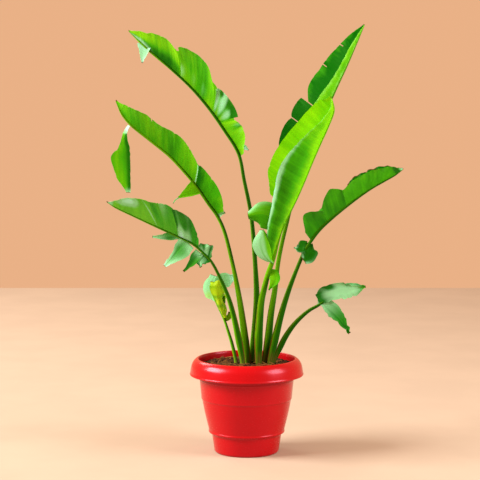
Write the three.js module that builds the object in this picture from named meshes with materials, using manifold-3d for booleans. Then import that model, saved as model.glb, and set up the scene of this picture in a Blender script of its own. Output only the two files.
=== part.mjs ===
// A young travelers palm in a round plastic pot: eight leaves in a fan, soil, and a pot with a rolled rim.
// Millimetres, +Z up. The origin is the middle of the pot's flat bottom, and the fan lies along X.
import * as THREE from "three";
import { mergeVertices } from "three/addons/utils/BufferGeometryUtils.js";
import Module from "manifold-3d";

const wasm = await Module();
wasm.setup();

// ---------------------------------------------------------------- driving dimensions
const POT_RIM_RADIUS = 100; // an 8 inch pot across the rolled rim
const POT_HEIGHT = 166;
const POT_FOOT_RADIUS = 56;
const POT_WALL = 2.6;
const POT_FLOOR = 3.5;
const POT_SEGMENTS = 40;
const DRAIN_HOLES = 6;
const DRAIN_RADIUS = 4.5;
const DRAIN_CIRCLE = 34; // radius of the circle that the drain holes stand on
const DRAIN_SIDES = 12;

const SOIL_TOP = 156;
const SOIL_ROUGHNESS = 1.6;
const GAP = 0.35; // between pieces that touch
const SOCKET_PLAY = 0.5; // between a stalk and the soil round it
const STALK_BURIED = 38; // how far a stalk goes down into the soil

const BLADE_THICKNESS = 0.8;
const STALK_SIDES = 8;
const STALK_STEP = 30; // length of one step of a stalk or midrib
const BLADE_STEP = 13; // length of one step along a blade
const BLADE_ROWS = 3; // steps from the midrib to the margin
const CHANNEL_DEPTH = 0.45; // of a stalk's radius, along its upper side
const WAVE = 1.5; // how far a margin swells to either side
const RIPPLE = 34; // length of one swell along a margin
const FULL_WAVE_WIDTH = 30; // a half blade at least this wide waves in full
const SPECK_VOLUME = 1; // mm³, the largest scrap that joining may drop

// ---------------------------------------------------------------- colours
const potPlastic = new THREE.MeshStandardMaterial({ color: 0xc4161f, roughness: 0.42, metalness: 0 });
const pottingSoil = new THREE.MeshStandardMaterial({ color: 0x4a2c18, roughness: 0.95, metalness: 0 });
const leafGreen = new THREE.MeshStandardMaterial({ color: 0x3f9a0c, roughness: 0.45, metalness: 0 });
const leafBright = new THREE.MeshStandardMaterial({ color: 0x7ccb12, roughness: 0.45, metalness: 0 });
const leafSea = new THREE.MeshStandardMaterial({ color: 0x4f9f55, roughness: 0.5, metalness: 0 });

// ---------------------------------------------------------------- leaves
// spine: the middle of the stalk and midrib, from the soil to the tip.
// radii: of the stalk at the soil, of the neck where the blade starts, and of the tip.
// blade: share of the spine where the blade starts. opens: 1 where its upper side looks right, -1 left.
// lobes: pieces of the two half blades between tears. side: 1 is the half towards the front, -1 the back.
//   from, to: shares of the blade. widths: from midrib to margin, evenly spaced from one to the other.
//   fold: how far the half rises from flat. curl: how much further it turns by the margin. lean: how far
//   its veins lean towards the tip. All three in degrees. wave, ripple: height and length of its swells.
// strips: torn pieces that left the blade's line. path: along the middle, from the root. halves: half widths
//   at the path's points. turn: about the path, from root to end. cup: how far the middle stands proud.
const LEAVES = {
  leaf_tall_left: {
    spine: [[10, 9, 154], [15, 10, 205], [18, 11, 267], [15, 13, 334], [8, 16, 416], [-4, 19, 476],
      [-14, 21, 523], [-39, 24, 564], [-69, 27, 606], [-100, 30, 641], [-134, 33, 672], [-170, 36, 702],
      [-206, 40, 736]],
    radii: [5.7, 3.2, 1.2],
    blade: 0.57,
    opens: 1,
    material: leafGreen,
    lobes: [
      { side: 1, from: 0.03, to: 0.185, widths: [15, 38, 48, 47], fold: 60, curl: -30, lean: 35 },
      { side: 1, from: 0.195, to: 0.32, widths: [49, 50, 46, 41], fold: 70, curl: -40, lean: 35 },
      { side: 1, from: 0.33, to: 0.595, widths: [46, 63, 63, 57, 52, 47], fold: 66, curl: -40, lean: 35 },
      { side: 1, from: 0.605, to: 1, widths: [50, 50, 41, 28, 16, 2], fold: 66, curl: -36, lean: 35 },
      { side: -1, from: 0.04, to: 0.47, widths: [14, 38, 44, 50, 46], fold: 58, curl: -30, lean: 35 },
      { side: -1, from: 0.48, to: 1, widths: [48, 46, 38, 24, 2], fold: 58, curl: -30, lean: 35 },
    ],
    strips: [
      // the curled end that hangs from the tip, and a scrap at the blade's foot
      { path: [[-174, 37, 712], [-177, 33, 702], [-180, 31, 692], [-181, 31, 682]], halves: [13, 9, 5, 1.5],
        turn: [10, 60] },
      { path: [[-18, 21, 536], [-9, 17, 536], [-3, 15, 534], [3, 13, 530]], halves: [5, 5, 4, 1],
        turn: [0, 40] },
    ],
  },
  leaf_middle_left: {
    spine: [[1, 0, 154], [-3, -1, 206], [-12, -4, 269], [-25, -9, 336], [-40, -13, 394], [-52, -15, 419],
      [-65, -17, 437], [-87, -20, 469], [-105, -22, 491], [-133, -25, 521], [-166, -29, 548],
      [-198, -33, 574], [-213, -35, 592], [-224, -38, 616]],
    radii: [5.2, 3.2, 1.2],
    blade: 0.54,
    opens: 1,
    material: leafGreen,
    lobes: [
      { side: 1, from: 0, to: 0.235, widths: [18, 36, 40, 38, 38], fold: 60, curl: -18,
        lean: [0, 20, 34, 36] },
      { side: 1, from: 0.245, to: 1, widths: [36, 48, 48, 43, 42, 34, 20, 2], fold: 62, curl: -25,
        lean: 36 },
      { side: -1, from: 0.03, to: 0.5, widths: [20, 34, 36, 40, 40], fold: 54, curl: -20,
        lean: [10, 30, 36] },
      { side: -1, from: 0.51, to: 1, widths: [40, 36, 28, 18, 2], fold: 54, curl: -20, lean: 36 },
    ],
    strips: [
      // a long torn strip that hangs from the tip, and a short one under the midrib
      { path: [[-201, -34, 577], [-208, -36, 562], [-209, -36, 550], [-214, -36, 536], [-219, -36, 522],
        [-216, -36, 501], [-212, -36, 479], [-207, -36, 458]],
        halves: [3, 4, 5, 10, 15, 13, 10, 2], turn: [50, 5] },
      { path: [[-88, -20, 468], [-98, -24, 460], [-108, -26, 453], [-120, -26, 450]],
        halves: [13, 12, 7, 1] },
      { path: [[-53, -15, 419], [-45, -18, 421], [-38, -20, 424]], halves: [6, 4, 1] },
    ],
  },
  leaf_low_left: {
    spine: [[-6, -10, 156], [-15, -11, 208], [-30, -14, 270], [-46, -17, 309], [-62, -19, 339],
      [-78, -20, 356], [-95, -21, 370], [-115, -22, 380], [-156, -24, 399], [-194, -26, 417],
      [-227, -28, 433], [-241, -29, 442]],
    radii: [4.6, 2.6, 1.1],
    blade: 0.52,
    opens: 1,
    material: leafSea,
    lobes: [
      { side: 1, from: 0.19, to: 0.345, widths: [30, 56, 61, 57], fold: 60, curl: -26, lean: 26 },
      { side: 1, from: 0.355, to: 1, widths: [54, 55, 50, 49, 41, 30, 16, 2], fold: 58, curl: -20,
        lean: 28 },
      { side: 1, from: 0.03, to: 0.17, widths: [8, 22, 16, 9], fold: 60, curl: 30, lean: 10, wave: 3,
        ripple: 13 },
      { side: -1, from: 0.16, to: 0.6, widths: [20, 42, 46, 44], fold: 50, curl: -20, lean: 28 },
      { side: -1, from: 0.61, to: 1, widths: [43, 34, 20, 2], fold: 50, curl: -20, lean: 28 },
    ],
    strips: [
      // torn strips that hang under the midrib, from the tip's side to the stalk's
      { path: [[-118, -22, 381], [-132, -26, 380], [-146, -28, 380], [-161, -29, 382]],
        halves: [5, 5, 4, 1] },
      { path: [[-98, -21, 370], [-110, -28, 358], [-124, -32, 345], [-139, -34, 331]],
        halves: [16, 14, 9, 2], turn: [0, 25] },
      { path: [[-78, -20, 355], [-84, -26, 345], [-94, -30, 333], [-103, -32, 322]],
        halves: [12, 9, 6, 1.5], turn: [0, -25] },
      { path: [[-67, -19, 345], [-72, -24, 340], [-78, -27, 334], [-80, -30, 329]], halves: [9, 9, 7, 3],
        turn: [0, 60] },
    ],
  },
  leaf_young_left: {
    spine: [[-18, 4, 154], [-25, 7, 188], [-33, 10, 214], [-40, 13, 234], [-51, 16, 257], [-60, 18, 278],
      [-64, 20, 298]],
    radii: [3.4, 2, 1],
    blade: 0.64,
    opens: 1,
    material: leafBright,
    lobes: [
      // two halves still rolled round each other
      { side: 1, from: 0, to: 1, widths: [8, 18, 26, 33, 39, 36, 14], fold: 0, curl: 215, lean: 0,
        wave: 0 },
      { side: -1, from: 0, to: 1, widths: [5, 13, 19, 25, 28, 24, 8], fold: 0, curl: 215, lean: 0,
        wave: 0 },
    ],
    strips: [
      { path: [[-55, 17, 266], [-60, 23, 276], [-62, 26, 290], [-56, 27, 306]], halves: [4, 9, 12, 9],
        turn: [0, -20] },
      { path: [[-50, 22, 280], [-42, 26, 291], [-34, 28, 299], [-24, 28, 304]], halves: [5, 9, 8, 2],
        turn: [20, -20] },
      { path: [[-41, 13, 238], [-36, 12, 240], [-31, 11, 245]], halves: [3, 5, 2] },
    ],
  },
  leaf_centre: {
    spine: [[23, -8, 156], [20, -12, 200], [22, -16, 237], [25, -20, 269], [30, -23, 292], [36, -27, 316],
      [47, -34, 349], [53, -36, 372], [62, -40, 400], [75, -44, 428], [86, -47, 451], [98, -52, 479],
      [110, -57, 509], [124, -62, 542], [138, -68, 574], [147, -72, 601], [143, -74, 622]],
    radii: [6, 4.6, 1.3],
    blade: 0.4,
    opens: -1,
    material: leafBright,
    lobes: [
      { side: 1, from: 0.12, to: 1, widths: [10, 25, 37, 51, 59, 64, 58, 48, 37, 23, 12, 2],
        fold: [10, 10, 20, 30, 40, 44], curl: [110, 110, 70, 40, 15, 10], lean: 12 },
      { side: -1, from: 0.33, to: 1, widths: [50, 68, 71, 68, 62, 54, 45, 34, 6], fold: 62, curl: 10,
        lean: 12 },
    ],
    strips: [
      // torn pieces at the foot of the blade
      { path: [[62, -38, 404], [46, -41, 417], [26, -42, 425], [2, -40, 422]], halves: [14, 23, 22, 2],
        turn: [0, -10], cup: 6 },
      { path: [[44, -32, 339], [38, -37, 345], [31, -39, 357], [27, -40, 374], [26, -40, 396]],
        halves: [2, 7, 15, 18, 4], turn: [0, 15], cup: 5 },
      { path: [[38, -28, 322], [46, -32, 318], [48, -34, 308], [38, -34, 290]], halves: [4, 8, 9, 1],
        cup: 3 },
    ],
  },
  leaf_tall_right: {
    spine: [[35, 5, 154], [37, 8, 196], [42, 12, 242], [49, 16, 284], [55, 22, 331], [63, 26, 371],
      [71, 30, 403], [79, 34, 436], [90, 39, 476], [106, 45, 518], [123, 50, 558], [139, 54, 595],
      [160, 59, 641], [177, 63, 677], [194, 68, 716], [208, 72, 748]],
    radii: [5.4, 3.4, 1.2],
    blade: 0.48,
    opens: -1,
    material: leafGreen,
    lobes: [
      { side: 1, from: 0.2, to: 1, widths: [16, 28, 36, 38, 28, 20, 16, 10, 2], fold: 36, curl: 10,
        lean: 14 },
      { side: -1, from: 0.16, to: 0.38, widths: [35, 55, 63, 64, 61], fold: 60, curl: 4, lean: 14 },
      { side: -1, from: 0.39, to: 0.495, widths: [61, 60, 58], fold: 65, curl: -4, lean: 14 },
      { side: -1, from: 0.505, to: 0.705, widths: [38, 48, 49, 45, 40], fold: 62, curl: 0, lean: 14 },
      { side: -1, from: 0.715, to: 0.845, widths: [40, 35, 31, 25], fold: 65, curl: -4, lean: 14 },
      { side: -1, from: 0.855, to: 1, widths: [25, 17, 9, 2], fold: 62, curl: 0, lean: 14 },
    ],
    strips: [],
  },
  leaf_middle_right: {
    spine: [[45, -4, 156], [50, -6, 204], [60, -8, 245], [73, -9, 287], [89, -10, 329], [98, -10, 350],
      [110, -10, 371], [126, -9, 392], [146, -8, 411], [173, -6, 433], [200, -4, 453], [220, -2, 466],
      [240, 0, 477], [258, 2, 487], [272, 4, 497]],
    radii: [5.2, 3.2, 1.2],
    blade: 0.56,
    opens: -1,
    material: leafGreen,
    lobes: [
      { side: 1, from: 0.02, to: 0.22, widths: [24, 53, 50, 40, 33], fold: 60, curl: -24, lean: 14 },
      { side: 1, from: 0.228, to: 0.43, widths: [38, 52, 58, 50, 41], fold: 56, curl: -12, lean: 14 },
      { side: 1, from: 0.44, to: 1, widths: [40, 43, 42, 39, 35, 28, 18, 3], fold: 58, curl: -20,
        lean: 14 },
      { side: -1, from: 0.06, to: 0.5, widths: [20, 34, 36, 38, 38], fold: 42, curl: -6, lean: 14 },
      { side: -1, from: 0.51, to: 1, widths: [39, 41, 38, 32, 21, 3], fold: 58, curl: -10, lean: 14 },
    ],
    strips: [
      // torn, curled pieces at the foot of the blade
      { path: [[107, -10, 365], [100, -14, 365], [93, -17, 366], [85, -17, 362]], halves: [4, 6, 5, 2],
        turn: [0, 40] },
      { path: [[108, -10, 368], [106, -16, 358], [104, -20, 348], [104, -22, 341]], halves: [4, 9, 9, 3],
        turn: [0, 20], cup: 4 },
    ],
  },
  leaf_low_right: {
    spine: [[51, 6, 154], [57, 5, 181], [67, 3, 202], [80, 0, 222], [95, -4, 239], [110, -8, 252],
      [125, -12, 261], [140, -15, 272], [162, -19, 283], [183, -22, 291], [204, -25, 294]],
    radii: [3.8, 2.2, 1],
    blade: 0.66,
    opens: -1,
    material: leafSea,
    lobes: [
      { side: -1, from: 0.02, to: 1, widths: [12, 24, 22, 18, 15, 10, 2], fold: 50, curl: -16, lean: 10 },
      { side: 1, from: 0.2, to: 1, widths: [8, 16, 16, 12, 8, 2], fold: -42, curl: 10, lean: 10 },
    ],
    strips: [
      // the lower lobe, torn free and turned down
      { path: [[126, -13, 261], [146, -18, 252], [162, -22, 238], [177, -24, 214]], halves: [4, 13, 14, 1],
        turn: [0, 12], cup: 3 },
    ],
  },
};

// ---------------------------------------------------------------- solids
// A closed geometry as a solid that faces outwards.
function solidOf(geometry) {
  const bare = geometry.clone();
  bare.deleteAttribute("normal");
  bare.deleteAttribute("uv");
  const merged = mergeVertices(bare, 1e-4);
  const points = merged.attributes.position.array;
  const faces = new Uint32Array(merged.index.array);
  const made = new wasm.Manifold(new wasm.Mesh({ numProp: 3, vertProperties: points, triVerts: faces }));
  if (made.volume() > 0) return made;
  const turned = faces.map((_, i) => faces[i - (i % 3) + [0, 2, 1][i % 3]]);
  return new wasm.Manifold(new wasm.Mesh({ numProp: 3, vertProperties: points, triVerts: turned }));
}

// A solid as a named mesh.
function meshOf(name, solid, material) {
  const { numProp, vertProperties, triVerts } = solid.getMesh();
  const points = new Float32Array((vertProperties.length / numProp) * 3);
  for (let i = 0; i < points.length / 3; i++) {
    points.set(vertProperties.subarray(i * numProp, i * numProp + 3), i * 3);
  }
  const geometry = new THREE.BufferGeometry();
  geometry.setAttribute("position", new THREE.BufferAttribute(points, 3));
  geometry.setIndex(new THREE.BufferAttribute(triVerts, 1));
  geometry.computeVertexNormals();
  const mesh = new THREE.Mesh(geometry, material);
  mesh.name = name;
  return mesh;
}

// A smooth value at a share from 0 to 1 of a list of evenly spaced values.
function along(values, share) {
  const last = values.length - 1;
  const place = THREE.MathUtils.clamp(share, 0, 1) * last;
  const start = Math.min(Math.floor(place), last - 1);
  const t = place - start;
  const at = (k) => values[THREE.MathUtils.clamp(k, 0, last)];
  const [a, b, c, d] = [at(start - 1), at(start), at(start + 1), at(start + 2)];
  const slopeB = (c - a) / 2;
  const slopeC = (d - b) / 2;
  return (2 * b - 2 * c + slopeB + slopeC) * t ** 3 + (3 * c - 3 * b - 2 * slopeB - slopeC) * t ** 2
    + slopeB * t + b;
}

// A number, or a list of evenly spaced numbers, read at a share.
function read(value, share) {
  return Array.isArray(value) ? along(value, share) : value;
}

const vector = (point) => new THREE.Vector3(...point);
const curveThrough = (points) => new THREE.CatmullRomCurve3(points.map(vector), false, "centripetal");
const FRONT = new THREE.Vector3(0, -1, 0);

// The place, direction, front side and upper side of a leaf at a share of its spine.
function frameAt(leaf, share) {
  const place = leaf.curve.getPointAt(share);
  const ahead = leaf.curve.getTangentAt(share);
  const side = FRONT.clone().addScaledVector(ahead, -FRONT.dot(ahead)).normalize();
  const up = ahead.clone().cross(side).multiplyScalar(leaf.opens);
  return { place, ahead, side, up };
}

// A stalk and midrib: a cylinder bent along the spine, with a channel along its upper side.
function rod(leaf, from, to, radiusAt) {
  const length = leaf.curve.getLength() * (to - from);
  const steps = Math.max(2, Math.round(length / STALK_STEP));
  const cylinder = new THREE.CylinderGeometry(1, 1, 1, STALK_SIDES, steps);
  const places = cylinder.attributes.position;
  for (let i = 0; i < places.count; i++) {
    const share = from + (to - from) * (places.getY(i) + 0.5);
    const frame = frameAt(leaf, share);
    const radius = radiusAt(share);
    const rise = places.getX(i) > 0.9 ? 1 - CHANNEL_DEPTH : places.getX(i);
    const point = frame.place
      .addScaledVector(frame.side, places.getZ(i) * radius)
      .addScaledVector(frame.up, rise * radius);
    places.setXYZ(i, point.x, point.y, point.z);
  }
  return solidOf(cylinder);
}

// A closed plate of even thickness around the sheet of points that point(s, v) gives for s and v from 0 to 1.
function plate(point, lengthSteps, widthSteps) {
  const rows = [];
  for (let i = 0; i <= lengthSteps; i++) {
    rows.push([]);
    for (let j = 0; j <= widthSteps; j++) rows[i].push(point(i / lengthSteps, j / widthSteps));
  }
  const wide = widthSteps + 1;
  const count = (lengthSteps + 1) * wide;
  const points = new Float32Array(count * 6);
  for (let i = 0; i <= lengthSteps; i++) {
    for (let j = 0; j <= widthSteps; j++) {
      const before = rows[Math.max(i - 1, 0)][j];
      const after = rows[Math.min(i + 1, lengthSteps)][j];
      const left = rows[i][Math.max(j - 1, 0)];
      const right = rows[i][Math.min(j + 1, widthSteps)];
      const normal = after.clone().sub(before).cross(right.clone().sub(left)).normalize();
      const offset = normal.multiplyScalar(BLADE_THICKNESS / 2);
      const index = (i * wide + j) * 3;
      points.set(rows[i][j].clone().add(offset).toArray(), index);
      points.set(rows[i][j].clone().sub(offset).toArray(), index + count * 3);
    }
  }
  const faces = [];
  for (let i = 0; i < lengthSteps; i++) {
    for (let j = 0; j < widthSteps; j++) {
      const a = i * wide + j;
      const [b, c, d] = [a + wide, a + wide + 1, a + 1];
      faces.push(a, b, c, a, c, d);
      faces.push(count + a, count + c, count + b, count + a, count + d, count + c);
    }
  }
  const border = [];
  for (let i = 0; i < lengthSteps; i++) border.push([i * wide, (i + 1) * wide]);
  for (let j = 0; j < widthSteps; j++) border.push([lengthSteps * wide + j, lengthSteps * wide + j + 1]);
  for (let i = lengthSteps; i > 0; i--) border.push([i * wide + widthSteps, (i - 1) * wide + widthSteps]);
  for (let j = widthSteps; j > 0; j--) border.push([j, j - 1]);
  for (const [a, b] of border) faces.push(a, count + a, b, b, count + a, count + b);
  const geometry = new THREE.BufferGeometry();
  geometry.setAttribute("position", new THREE.BufferAttribute(points, 3));
  geometry.setIndex(faces);
  return solidOf(geometry);
}

// How far sideways and up the end of a unit strip lies that starts at angle fold and turns by curl.
function bent(fold, curl, share) {
  const start = THREE.MathUtils.degToRad(fold);
  const turn = THREE.MathUtils.degToRad(Math.abs(curl) < 0.1 ? 0.1 : curl);
  const end = start + turn * share;
  return { out: (Math.sin(end) - Math.sin(start)) / turn, rise: (Math.cos(start) - Math.cos(end)) / turn };
}

// One piece of a half blade between two tears.
function lobe(leaf, { side, from, to, widths, fold, curl, lean, wave = WAVE, ripple = RIPPLE }) {
  const bladeLength = leaf.curve.getLength() * (1 - leaf.blade);
  const steps = Math.max(2, Math.round((bladeLength * (to - from)) / BLADE_STEP));
  const point = (s, v) => {
    const t = from + (to - from) * s;
    const { place, ahead, side: front, up } = frameAt(leaf, leaf.blade + (1 - leaf.blade) * t);
    const width = along(widths, s);
    const forward = Math.tan(THREE.MathUtils.degToRad(read(lean, s)));
    const { out, rise } = bent(read(fold, s), read(curl, s), v);
    const phase = (2 * Math.PI * t * bladeLength) / ripple;
    const swell = wave * v ** 2 * Math.sin(phase + side) * Math.min(1, width / FULL_WAVE_WIDTH);
    return place
      .addScaledVector(front, side * (width * out - swell * rise))
      .addScaledVector(up, width * rise + swell * out)
      .addScaledVector(ahead, width * forward * v);
  };
  return plate(point, steps, BLADE_ROWS);
}

// A torn strip along a path of its own.
function strip({ path, halves, turn = [0, 0], cup = 1.5 }) {
  const curve = curveThrough(path);
  const steps = Math.max(3, Math.round(curve.getLength() / BLADE_STEP) + 1);
  const point = (s, v) => {
    const across = 2 * v - 1;
    const ahead = curve.getTangent(s);
    const sideways = ahead.clone().cross(FRONT).normalize();
    sideways.applyAxisAngle(ahead, THREE.MathUtils.degToRad(along(turn, s)));
    const proud = sideways.clone().cross(ahead);
    return curve.getPoint(s)
      .addScaledVector(sideways, along(halves, s) * across)
      .addScaledVector(proud, -cup * (1 - across ** 2));
  };
  return plate(point, steps, 2);
}

// Pieces joined in one body. Specks and pinholes that the joining leaves are dropped or filled.
function fused(pieces) {
  const bodies = pieces.reduce((sum, piece) => sum.add(piece)).decompose();
  const [body, ...specks] = bodies.sort((a, b) => b.volume() - a.volume());
  if (specks.some((speck) => Math.abs(speck.volume()) > SPECK_VOLUME)) {
    throw new Error("a piece of a leaf hangs loose");
  }
  return body;
}

function growLeaf(shape) {
  const [x, y, z] = shape.spine[0];
  const leaf = { ...shape, curve: curveThrough([[x, y, z - STALK_BURIED], ...shape.spine]) };
  const buried = STALK_BURIED / leaf.curve.getLength();
  const [foot, neck, tip] = leaf.radii;
  const { mapLinear } = THREE.MathUtils;
  const radiusAt = (share) => {
    if (share < leaf.blade) return mapLinear(Math.max(share, buried), buried, leaf.blade, foot, neck);
    return mapLinear(share, leaf.blade, 1, neck, tip);
  };
  const clearFoot = (2 * GAP) / leaf.curve.getLength();
  const pieces = [
    rod(leaf, clearFoot, 1, radiusAt),
    ...leaf.lobes.map((piece) => lobe(leaf, piece)),
    ...leaf.strips.map(strip),
  ];
  const socketTop = 2.5 * buried;
  const socket = rod(leaf, 0, socketTop, (share) => radiusAt(share) + SOCKET_PLAY);
  return { solid: fused(pieces), socket };
}

// ---------------------------------------------------------------- pot and soil
const LIP_DROP = 29; // from the top of the rim to its lower edge
const LIP_OVERHANG = 16; // from the wall to the outside of the lip
const STEP_HEIGHT = 38; // where the foot steps out into the body

// The wall's outer profile from the foot to under the lip, as [radius, height].
const POT_OUTSIDE = [
  [POT_FOOT_RADIUS - 1.5, 0],
  [POT_FOOT_RADIUS + 0.8, 2.4],
  [61.2, STEP_HEIGHT - 6],
  [63.4, STEP_HEIGHT - 2.4],
  [66, STEP_HEIGHT],
  [69.8, 54],
  [74.1, 72],
  [77.8, 92],
  [79.4, 97],
  [81.9, 122],
  [83.2, 130],
];

// The hooked lip, from the wall's outside over the rim to the wall's inside.
function lipProfile() {
  const [bodyRadius] = POT_OUTSIDE.at(-1);
  const low = POT_HEIGHT - LIP_DROP;
  const outer = POT_RIM_RADIUS;
  const inner = outer - POT_WALL;
  return [
    [bodyRadius + 1.2, POT_HEIGHT - 9],
    [inner - 6, POT_HEIGHT - 7],
    [inner - 1, low + 14],
    [inner, low + 1],
    [inner + 0.6, low],
    [outer - 0.4, low],
    [outer, low + 5],
    [outer - 1.2, low + 15],
    [outer - 4.5, POT_HEIGHT - 6],
    [outer - 8.5, POT_HEIGHT - 1],
    [outer - 12, POT_HEIGHT],
    [outer - 15, POT_HEIGHT - 1.6],
    [outer - LIP_OVERHANG, POT_HEIGHT - 5],
  ];
}

// The wall's inner profile, which follows every second point of the outer one above the foot.
const POT_INSIDE = POT_OUTSIDE.filter((_, i) => i > 1 && i % 2 === 0)
  .map(([radius, height]) => [radius - POT_WALL, height]);

function lathe(profile) {
  const points = profile.map(([radius, height]) => new THREE.Vector2(radius, height));
  return new THREE.LatheGeometry(points, POT_SEGMENTS).rotateX(Math.PI / 2);
}

function makePot() {
  const floorRadius = POT_FOOT_RADIUS - 1;
  const profile = [
    [0, 0],
    ...POT_OUTSIDE,
    ...lipProfile(),
    ...POT_INSIDE.toReversed(),
    [floorRadius, POT_FLOOR],
    [0, POT_FLOOR],
  ];
  let pot = solidOf(lathe(profile));
  for (let i = 0; i < DRAIN_HOLES; i++) {
    const angle = (2 * Math.PI * i) / DRAIN_HOLES;
    const drill = new THREE.CylinderGeometry(DRAIN_RADIUS, DRAIN_RADIUS, 3 * POT_FLOOR, DRAIN_SIDES)
      .rotateX(Math.PI / 2)
      .translate(DRAIN_CIRCLE * Math.cos(angle), DRAIN_CIRCLE * Math.sin(angle), POT_FLOOR / 2);
    pot = pot.subtract(solidOf(drill));
  }
  return pot;
}

// Soil that fills the pot, with a gently uneven top and a plain hole for each stalk.
function makeSoil(sockets) {
  const wall = POT_INSIDE.map(([radius, height]) => [radius - GAP, height]);
  const topRadius = wall.at(-1)[0];
  const rings = [0.75, 0.5, 0.25]; // shares of the top's radius
  const profile = [
    [0, POT_FLOOR + GAP],
    [POT_FOOT_RADIUS - 1 - GAP, POT_FLOOR + GAP],
    ...wall,
    [topRadius, SOIL_TOP - 1.5],
    ...rings.map((share) => [topRadius * share, SOIL_TOP]),
    [0, SOIL_TOP],
  ];
  const geometry = lathe(profile);
  const places = geometry.attributes.position;
  for (let i = 0; i < places.count; i++) {
    const [x, y, z] = [places.getX(i), places.getY(i), places.getZ(i)];
    if (z < SOIL_TOP - 2) continue;
    const bumps = Math.sin(x / 7) * Math.cos(y / 9) + 0.6 * Math.sin((x + 2 * y) / 5);
    const fade = 1 - Math.hypot(x, y) / topRadius / 2;
    places.setZ(i, z + SOIL_ROUGHNESS * bumps * fade);
  }
  return sockets.reduce((soil, socket) => soil.subtract(socket), solidOf(geometry));
}

// ---------------------------------------------------------------- the whole plant
const palm = new THREE.Group();
palm.add(meshOf("pot", makePot(), potPlastic));
const sockets = [];
for (const [name, shape] of Object.entries(LEAVES)) {
  const { solid, socket } = growLeaf(shape);
  sockets.push(socket);
  palm.add(meshOf(name, solid, shape.material));
}
palm.add(meshOf("soil", makeSoil(sockets), pottingSoil));

export default palm;
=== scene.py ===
"""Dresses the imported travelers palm: leaves with pleated blades, channelled stalks, soil and a moulded pot.

The frame is in metres with +Z up. Lengths written here are millimetres unless a name or a comment says
otherwise. The leaves follow the part's source, apart from a few margins, tears and feet that are set a few
millimetres otherwise.
"""
import math

import bmesh
import bpy
import numpy as np
from bpy.props import FloatProperty, FloatVectorProperty, IntProperty, PointerProperty
from mathutils import Euler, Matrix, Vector


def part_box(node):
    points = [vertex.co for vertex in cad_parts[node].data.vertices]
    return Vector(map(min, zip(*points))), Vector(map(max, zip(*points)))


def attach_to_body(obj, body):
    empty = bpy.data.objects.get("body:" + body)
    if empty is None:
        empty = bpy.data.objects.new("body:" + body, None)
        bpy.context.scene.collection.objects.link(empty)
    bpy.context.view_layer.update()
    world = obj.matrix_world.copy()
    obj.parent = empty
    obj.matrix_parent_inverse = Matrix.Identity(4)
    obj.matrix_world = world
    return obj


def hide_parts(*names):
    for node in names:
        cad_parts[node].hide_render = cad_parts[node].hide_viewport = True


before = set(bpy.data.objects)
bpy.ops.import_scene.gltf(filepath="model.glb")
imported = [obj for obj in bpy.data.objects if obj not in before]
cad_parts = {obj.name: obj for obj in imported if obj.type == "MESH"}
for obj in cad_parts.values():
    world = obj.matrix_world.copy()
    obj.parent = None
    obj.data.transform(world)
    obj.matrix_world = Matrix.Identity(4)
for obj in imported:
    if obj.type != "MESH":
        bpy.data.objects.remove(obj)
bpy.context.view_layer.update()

bl_info = {
    "name": "Travelers Palm",
    "version": (1, 0, 0),
    "blender": (4, 5, 0),
    "location": "View3D > Sidebar > Palm",
    "description": "Dresses a potted travelers palm around its solid parts",
    "category": "Object",
}

MM = 0.001
FRONT = np.array([0.0, -1.0, 0.0])
POT_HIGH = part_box("pot")[1]
POT_HEIGHT = POT_HIGH.z / MM
RIM_RADIUS = POT_HIGH.x / MM
SOIL_TOP = 156  # the soil's middle height in the pot
SOIL_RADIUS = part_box("soil")[1].x / MM

# ---------------------------------------------------------------- leaves
# A list of numbers gives values at even steps, along the spine or the piece, or across the piece. Across is
#   from midrib to margin on a lobe, and from left to right of the path on a strip.
# spine: points along the middle of stalk and midrib, from the soil to the tip.
# blade: share of the spine where the blade starts. opens: 1 where its upper side looks right, -1 left.
# radii: of the stalk at the soil, of the neck where the blade starts, and of the tip.
#   rib: radius of the midrib just past the neck. spread: how much of the usual widening a stalk has low down.
# kind: which green the leaf has. yellow: how far it is still yellow. tip: length of its brown tip.
#   rind: from 0, a dark stalk, to 1, a light one.
# lobes: pieces of the two half blades between tears.
#   side: 1 is the half towards the front, -1 the back. start, end: shares of the blade.
#   widths: from midrib to margin. lean: of its veins towards the tip, in degrees.
#   fold: how far the half rises from flat. curl: how much further it turns by the margin. Both in degrees.
#   wave, ripple: height and length of its swells. singed: how brown its margin is.
#   slits: short tears from the margin, as (share of the lobe, share of the width it reaches, opening in mm).
# strips: torn pieces that left the blade's line.
#   path: along the middle, from the root. turn: about the path, in degrees.
#   halves: half widths, or sides: the widths left and right of the path as one goes along it in front view.
#   cup: how far the middle lies behind the margins, or before them where it is negative.
#   dry: length of its brown end.
# Lobes and strips alike have these.
#   tone: across the piece, from 0, the darkest green, to 1, the lightest. Besides the leaf's own
#   greens it holds painted shade in creases and valleys and painted light where a half curves out.
#   shade: is added to the tone along the piece; in places it paints shade and light along folds and crumples.
#   pale, pale_across: how far it turns to mint, and past 1 to silver. This stands for bleached tissue and,
#   in places, for a painted sheen.
#   marks: soft spots, as (share along, share across, length, width, slant, how much lighter, how much paler).
#   Some of them are painted sheen.
#   crumple: height of its creases. ragged: how rough the margin is.
STALK_BURIED = 38  # how far a stalk goes down into the soil
WAVE = 0.6  # of a lobe that gives none
RIPPLE = 34  # of a lobe that gives none
FULL_WAVE_WIDTH = 30  # a narrower half blade swells less
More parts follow.
